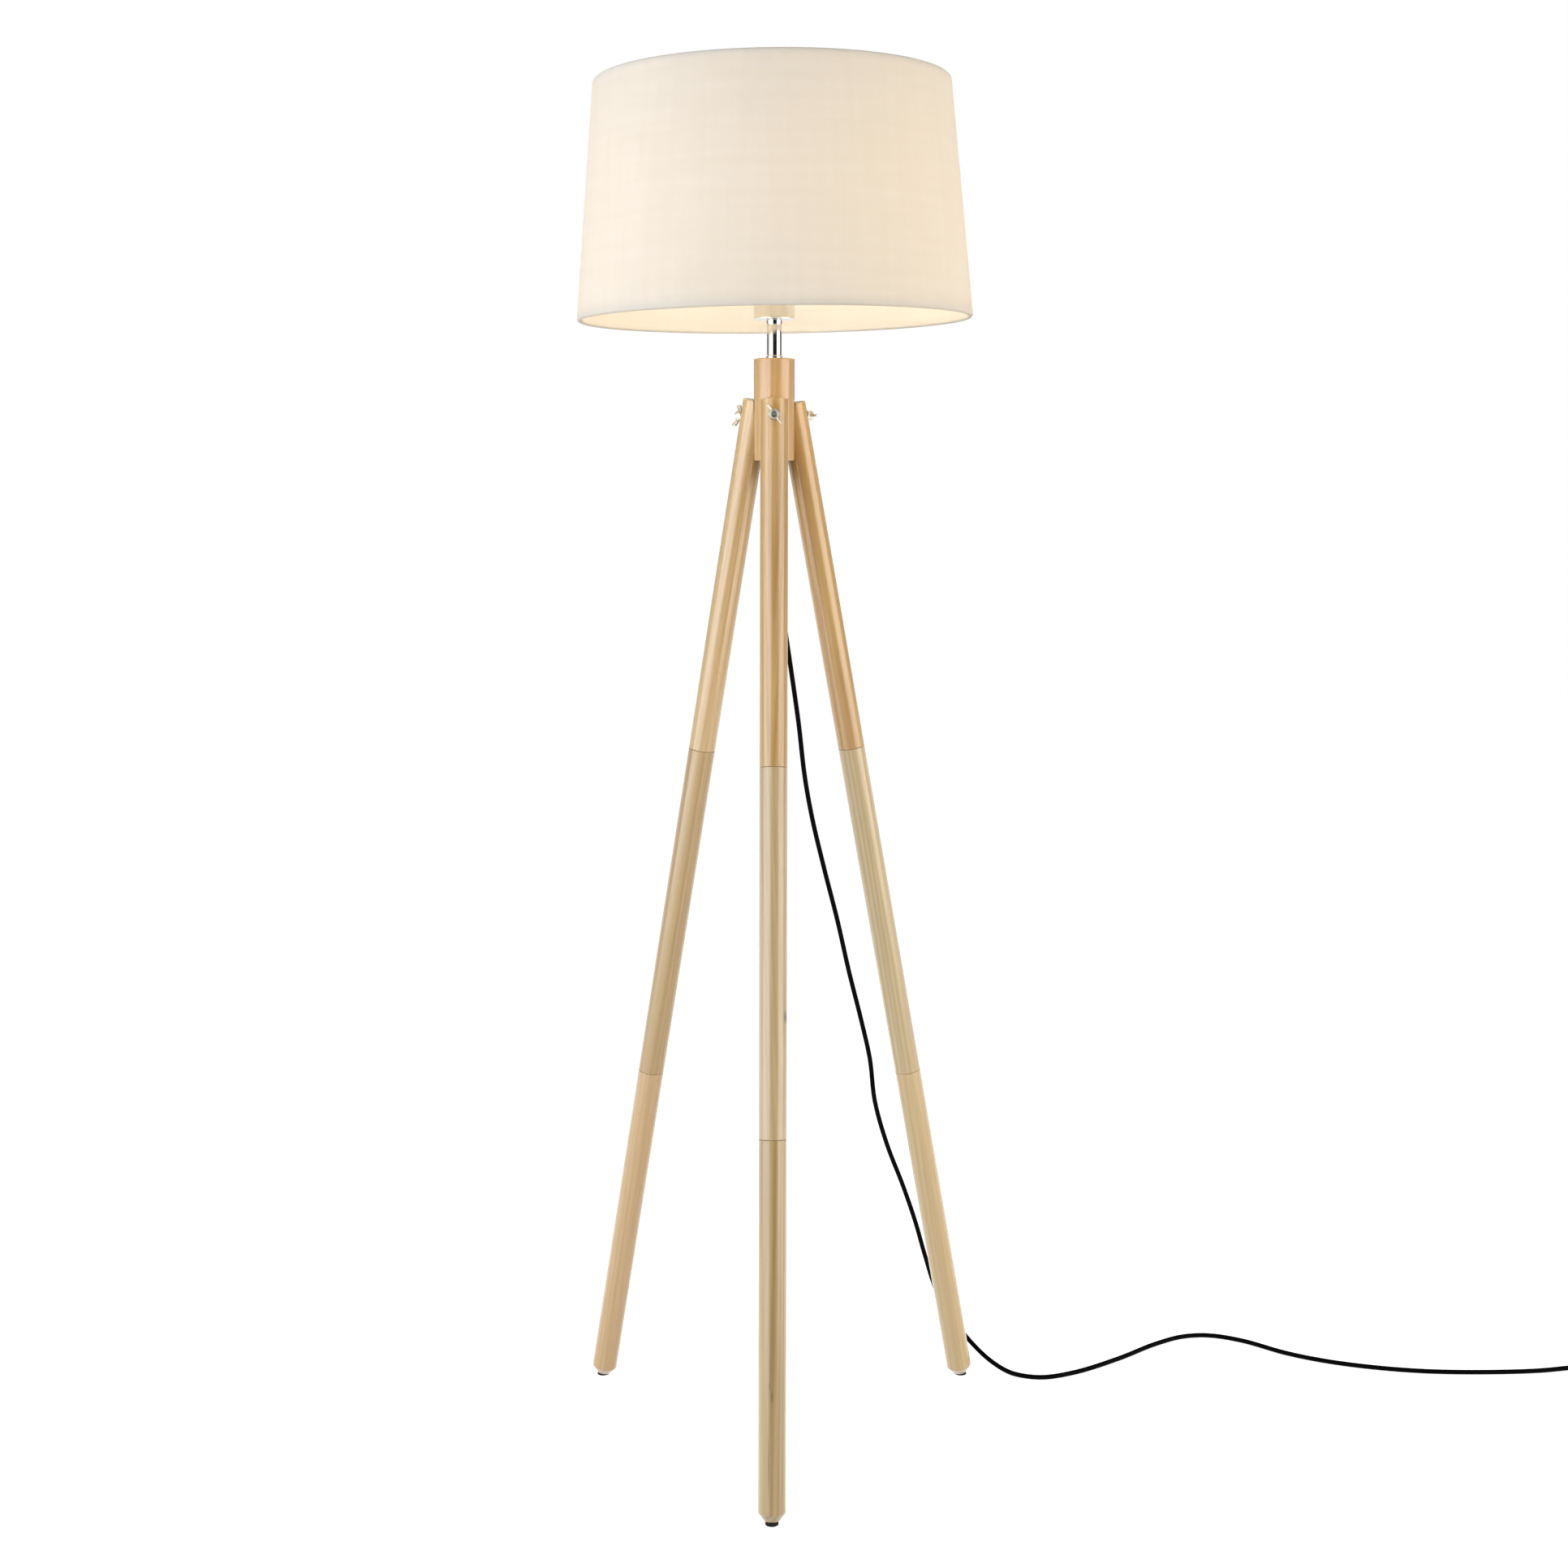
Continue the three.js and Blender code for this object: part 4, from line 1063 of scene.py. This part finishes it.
def shade_profile():
    """The cloth's middle line: up inside the lower ring, round it, up the wall and round the upper ring."""
    top = SHADE_BOTTOM + SHADE_HEIGHT
    rows = []
    turn_radius = RING_INSET - CLOTH_THICKNESS / 2
    for ring_radius, ring_height, start, end in (
        (SHADE_BOTTOM_RADIUS - RING_INSET, SHADE_BOTTOM + RING_RISE, -180, 0),
        (SHADE_TOP_RADIUS - RING_INSET, top - RING_RISE, 0, 180),
    ):
        arc = []
        for k in range(ARC_STEPS + 1):
            a = math.radians(start + (end - start) * k / ARC_STEPS)
            arc.append((ring_radius + turn_radius * math.cos(a), ring_height + turn_radius * math.sin(a)))
        if start:
            rows += [(arc[0][0] + 0.9, ring_height + TURN_IN), *arc]
        else:
            rows += [*arc, (arc[-1][0] + 1.3, ring_height - TURN_IN)]
    return rows


def offset_line(rows, distance):
    """The rows moved sideways by a distance, to the right of the way they run."""
    moved = []
    for i, here in enumerate(rows):
        before, after = Vector(rows[max(i - 1, 0)]), Vector(rows[min(i + 1, len(rows) - 1)])
        along = (after - before).normalized()
        moved.append((here[0] + along.y * distance, here[1] - along.x * distance))
    return moved


def make_shade():
    line = [Vector(point) for point in shade_profile()]
    split = len(line) // 2
    wall_rows = 16
    wall = [line[split - 1].lerp(line[split], (k + 1) / (wall_rows + 1)) for k in range(wall_rows)]
    line[split:split] = wall
    outside = offset_line(line, CLOTH_THICKNESS / 2)
    inside = offset_line(line, -CLOTH_THICKNESS / 2)
    segments = 180
    rings = [cloth_ring(radius, z, SEAM_LIFT, segments) for radius, z in outside]
    rings += [cloth_ring(radius, z, 0.0, segments) for radius, z in reversed(inside)]
    bm = bmesh.new()
    add_rings(bm, rings, closed=True)
    bm.faces.ensure_lookup_table()
    hem_rows = ARC_STEPS + 2
    for row in range(len(outside) + hem_rows, len(rings) - hem_rows):
        for face in bm.faces[row * segments : (row + 1) * segments]:
            face.material_index = 1
    cloth = finish_mesh("shade_cloth_drum", bm, [CLOTH, LINER], 50)
    cloth.matrix_world = SHADE_FRAME
    piece(cloth, "shade", "shade_fabric", "shade_skin")


def cloth_ring(radius, z, lift, segments):
    """One level of the cloth, slightly uneven, and raised where it laps over itself."""
    ring = []
    for a in circle(segments):
        past_middle = abs((a - SHADE_SEAM) / SEAM_LAP - 0.5)
        raised = lift * max(0.0, min(1.0, 5 * (0.5 - past_middle) + 0.5))
        ripple = 0.12 * math.sin(5 * a + 0.4) + 0.08 * math.sin(11 * a + 2)
        reach = radius + raised + ripple
        ring.append((reach * math.cos(a), reach * math.sin(a), z))
    return ring


def wire_ring(bm, radius, height, thick, segments=120, sides=12):
    rings = []
    for turn in circle(segments):
        section = [(radius + thick * math.cos(a), height + thick * math.sin(a)) for a in circle(sides)]
        rings.append([(reach * math.cos(turn), reach * math.sin(turn), z) for reach, z in section])
    add_rings(bm, rings, closed=True)


def wire_along(bm, path, thick, sides=12):
    """A round wire along points in millimetres that stay in one upright plane."""
    rings = []
    for before, here, after in zip([path[0], *path], path, [*path[1:], path[-1]]):
        along = (after - before).normalized()
        side = along.cross(UP).normalized()
        lift = side.cross(along)
        rings.append([here + thick * (math.cos(a) * side + math.sin(a) * lift) for a in circle(sides)])
    loft(bm, rings)


def make_shade_wires():
    top = SHADE_BOTTOM + SHADE_HEIGHT - RING_RISE
    ring_radius = SHADE_TOP_RADIUS - RING_INSET
    bm = bmesh.new()
    wire_ring(bm, ring_radius, top, WIRE_RADIUS)
    bore = SKIRT_RADIUS + 1.2
    fitter = [(bore, 0), (FITTER_RADIUS, 0), (FITTER_RADIUS, FITTER_THICKNESS), (bore, FITTER_THICKNESS)]
    revolve(bm, [(*corner, 0.4) for corner in fitter], closed=True)
    arm = [(29.0, 2.6), (31.5, 2.9), (34.0, 4.6), (37.0, 8.0), (60.0, 36.6), (120.0, 111.2), (180.0, 185.8)]
    arm.append((ring_radius, top))
    for azimuth in (90, 210, 330):
        a = math.radians(azimuth)
        out = Vector((math.cos(a), math.sin(a), 0))
        path = smooth_path([out * r + UP * z for r, z in arm], 5)
        wire_along(bm, path, WIRE_RADIUS)
    wires = finish_mesh("shade_wires", bm, [WIRE_PAINT])
    wires.matrix_world = SHADE_FRAME
    piece(wires, "shade", "painted_wire", "shade_frame")
    bm = bmesh.new()
    wire_ring(bm, SHADE_BOTTOM_RADIUS - RING_INSET, SHADE_BOTTOM + RING_RISE, WIRE_RADIUS)
    lower = finish_mesh("shade_lower_wire", bm, [WIRE_PAINT])
    lower.matrix_world = SHADE_FRAME
    piece(lower, "shade", "painted_wire", "shade_lower_ring")


# ---------------------------------------------------------------- gland, foot switch and plug

GLAND_RADIUS = 6.4
GLAND_FLANGE = (13.0, 2.5)  # radius, thickness
SWITCH_SIZE = (72.0, 36.0)  # length, width
SWITCH_SPLIT = 8.0  # the height where the cover meets the base
BUTTON_RADIUS = 12.0
BUTTON_LIP = 14.0  # radius of the lip that keeps the button in
BOOT_LENGTH = 24.0
BOOT_RADIUS = 6.2
CORD_BORE = CORD_RADIUS / MM + 0.3
PLUG_HALF_WIDTH = 12.9
PLUG_HALF_THICKNESS = 7.0
PLUG_TAIL = 24.0
PIN_SPACING = 19.0
PIN_RADIUS = 2.0
PIN_SLEEVE = 18.6  # how much of each pin its sleeve covers


def grip_ribs(count, start, pitch, radius, widening, groove, groove_width, lip):
    """The side of a strain relief, with grooves between its ribs, as profile points."""
    rows = []
    for i in range(count):
        z = start + pitch * i
        rib = radius + widening * i
        floor = rib - groove
        rows += [(rib, z, 0.3), (floor, z + 0.6, 0.2)]
        rows += [(floor + 0.05, z + 0.6 + groove_width, 0.2), (rib + lip, z + 1.2 + groove_width, 0.3)]
    return rows


def make_gland():
    low, high = heights("cord_gland")
    flange = heights("hub")[0] - JOINT_GAP
    wide, thick = GLAND_FLANGE
    turned_part("cord_gland", "moulded", [
        (CORD_BORE, low), (3.9, low, 0.5), *grip_ribs(6, low + 3, 3.6, 4.2, 0.35, 0.8, 0.9, 0.15),
        (GLAND_RADIUS, low + 26, 0.3), (GLAND_RADIUS, flange - thick, 0.4),
        (wide, flange - thick, 0.7), (wide, flange, 0.3), (10.7, flange), (10.7, high, 0.4),
        (CORD_BORE, high),
    ], BLACK, "black_plastic", 48, steps=3)


def stadium_ring(inset, z, count=96):
    """Points round the switch, a bar with round ends, drawn in by an inset."""
    length, width = SWITCH_SIZE
    radius = width / 2 - inset
    half = (length - width) / 2
    ring = []
    for a in circle(count):
        x, y = math.sin(a), -math.cos(a)
        spread = math.copysign(half, x) if abs(x) > 1e-9 else 0
        ring.append((spread + radius * x, radius * y, z))
    return ring


def round_ring(radius, z, count=96):
    return [(radius * math.sin(a), -radius * math.cos(a), z) for a in circle(count)]


def make_switch():
    centre = middle("switch_cover")
    spot = Matrix.Translation((centre.x, centre.y, 0))
    split = SWITCH_SPLIT
    bm = bmesh.new()
    tray = [(1.0, 0.0), (0.3, 0.3), (0.0, 1.0), (0.0, split - 0.5), (0.35, split), (2.0, split), (2.0, 2.0)]
    loft(bm, [stadium_ring(inset, z) for inset, z in tray])
    base = finish_mesh("switch_base_moulded", bm, [BLACK], 40)
    base.matrix_world = spot
    piece(base, "root", "black_plastic", "switch_base")

    top = heights("switch_cover")[1]
    hole = BUTTON_RADIUS + 0.3
    low = split + 0.3
    shell = [(2.0, low), (0.35, low), (0.0, low + 0.5)]
    shell += [(0.0, top - 4.2), (0.35, top - 2.5), (1.2, top - 1.2), (2.6, top - 0.3), (4.4, top)]
    rim = [(hole + 0.7, top), (hole + 0.2, top - 0.15), (hole, top - 0.6), (hole, top - 2.5)]
    rings = [stadium_ring(inset, z) for inset, z in shell]
    rings += [round_ring(radius, z) for radius, z in rim]
    rings.append(stadium_ring(2.0, top - 2.5))
    bm = bmesh.new()
    add_rings(bm, rings, closed=True)
    cover = finish_mesh("switch_cover_moulded", bm, [BLACK], 40)
    cover.matrix_world = spot
    piece(cover, "root", "black_plastic", "switch_cover")

    low, high = heights("switch_button")
    crown = high - 1.0
    turned_part("switch_button", "moulded", [
        (0, top - 5), (10, top - 5), (10, low), (BUTTON_LIP, low, 0.3),
        (BUTTON_LIP, top - 2.8, 0.3), (BUTTON_RADIUS, top - 2.8, 0.2), (BUTTON_RADIUS, crown, 1.4),
        (9.6, crown + 0.5, 0.4), (9.2, crown - 0.1, 0.3), (8.6, crown - 0.1, 0.3),
        (8.2, crown + 0.6, 0.4), (0, high),
    ], BLACK, "black_plastic", 72, closed=False, place=spot, body="switch_button")
    for name, hand in (("switch_boot_in", -1), ("switch_boot_out", 1)):
        make_boot(name, centre, hand)


def make_boot(name, centre, hand):
    """A ribbed tapered sleeve, from its thin tip at local z = 0 to the switch."""
    low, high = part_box(name)
    tip = Vector((low.x if hand < 0 else high.x, centre.y, (low.z + high.z) / 2))
    turned_part(name, "moulded", [
        (CORD_BORE, 0), (3.7, 0, 0.5), *grip_ribs(5, 3, 3.8, 3.9, 0.42, 0.5, 1.0, 0.2),
        (BOOT_RADIUS, BOOT_LENGTH - 1.5, 0.5), (BOOT_RADIUS, BOOT_LENGTH), (CORD_BORE, BOOT_LENGTH),
    ], BLACK, "black_plastic", 40, steps=3,
       place=Matrix.Translation(tip) @ Matrix.Rotation(-hand * math.pi / 2, 4, "Y"))


def along_the_plug(node):
    """Local Z runs from a plug node's rear end to its front end. Also gives its length in millimetres."""
    low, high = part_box(node)
    rear = Matrix.Translation(((low.x + high.x) / 2, high.y, (low.z + high.z) / 2))
    return rear @ Matrix.Rotation(math.pi / 2, 4, "X"), (high.y - low.y) / MM


def plug_sections(length):
    """Distance along the plug, half width and half thickness, from its ribbed tail to its face."""
    sections = [(0, 3.4, 3.4), (0.5, 3.7, 3.7)]
    for i in range(6):
        s = 2.5 + 3.4 * i
        rib = 3.8 + 0.22 * i
        for ahead, step in ((0, 0), (0.5, -0.6), (1.5, -0.6), (2.0, 0.1)):
            sections.append((s + ahead, rib + step, rib + step))
    wide, thick = PLUG_HALF_WIDTH, PLUG_HALF_THICKNESS
    sections += [(PLUG_TAIL, 5.2, 5.0), (26, 6.4, 5.4), (29, 8.6, 6.0), (33, 11.0, 6.6), (37, 12.4, 6.9)]
    sections += [(41, wide, thick), (length - 4, wide, thick), (length - 1.5, wide - 0.3, thick - 0.2)]
    sections += [(length - 0.4, wide - 1.0, thick - 0.8), (length, wide - 1.9, thick - 1.6)]
    return sections


def make_plug():
    """A flat two-pin plug that lies on its face, with its ribbed tail towards the coil."""
    spot, length = along_the_plug("plug_body")
    rings = []
    for s, wide, thick in plug_sections(length):
        power = 1.0 if s < PLUG_TAIL else max(0.42, 1.0 - 0.04 * (s - PLUG_TAIL))
        rings.append([(wide * c, thick * d, s) for c, d in squared_circle(56, power)])
    bm = bmesh.new()
    loft(bm, rings)
    body = finish_mesh("plug_body_moulded", bm, [BLACK], 40)
    body.matrix_world = spot
    sides = [Matrix.Translation((x * MM, 0, 0)) for x in (-PIN_SPACING / 2, PIN_SPACING / 2)]
    cut(body, *[peg(PIN_RADIUS + 0.3, length - 9, length + 1, spot @ side, 24) for side in sides])
    piece(body, "root", "black_plastic", "plug_body")
    for node in ("plug_pin_left", "plug_pin_right"):
        pin_spot, reach = along_the_plug(node)
        tip = PIN_RADIUS - 0.08  # the bare metal past the sleeve is a little thinner
        profile = [(0, 0), (PIN_RADIUS, 0), (PIN_RADIUS, PIN_SLEEVE, 0.2), (tip, PIN_SLEEVE + 0.4, 0.1)]
        profile += [(tip, reach - 1.2, 0.4), (1.1, reach, 0.4), (0, reach)]
        bm = bmesh.new()
        revolve(bm, profile, 28)
        for face in bm.faces:
            if face.calc_center_median().z < (PIN_SLEEVE + 0.1) * MM:
                face.material_index = 1
        pin = finish_mesh(f"{node}_sleeved", bm, [NICKEL, BLACK])
        pin.matrix_world = pin_spot
        piece(pin, "root", "plug_pins", node)


# ---------------------------------------------------------------- assembly

make_hub()
for side in SIDES:
    leg = leg_frame(side)
    make_leg(leg)
    make_foot_pad(leg)
    make_fastening(side)
    make_wing_nut(side)
make_stem()
make_holder()
make_clamp_ring()
make_bulb()
make_shade()
make_shade_wires()
make_gland()
make_switch()
make_plug()

# CAD nodes whose shape is right and that only need their material.
screws = [f"joint_screw_{side}_{level}" for side in SIDES for level in ("lower", "upper")]
for material, nodes in (
    (ZINC, ["nipple", "nipple_nut_lower", "nipple_nut_upper", *screws]),
    (CERAMIC, ["holder_core"]),
    (BRASS, ["screw_shell", "centre_contact"]),
    (CORD_BLACK, ["cord_inside_stem"]),
):
    for node in nodes:
        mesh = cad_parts[node].data
        mesh.materials.clear()
        mesh.materials.append(material)
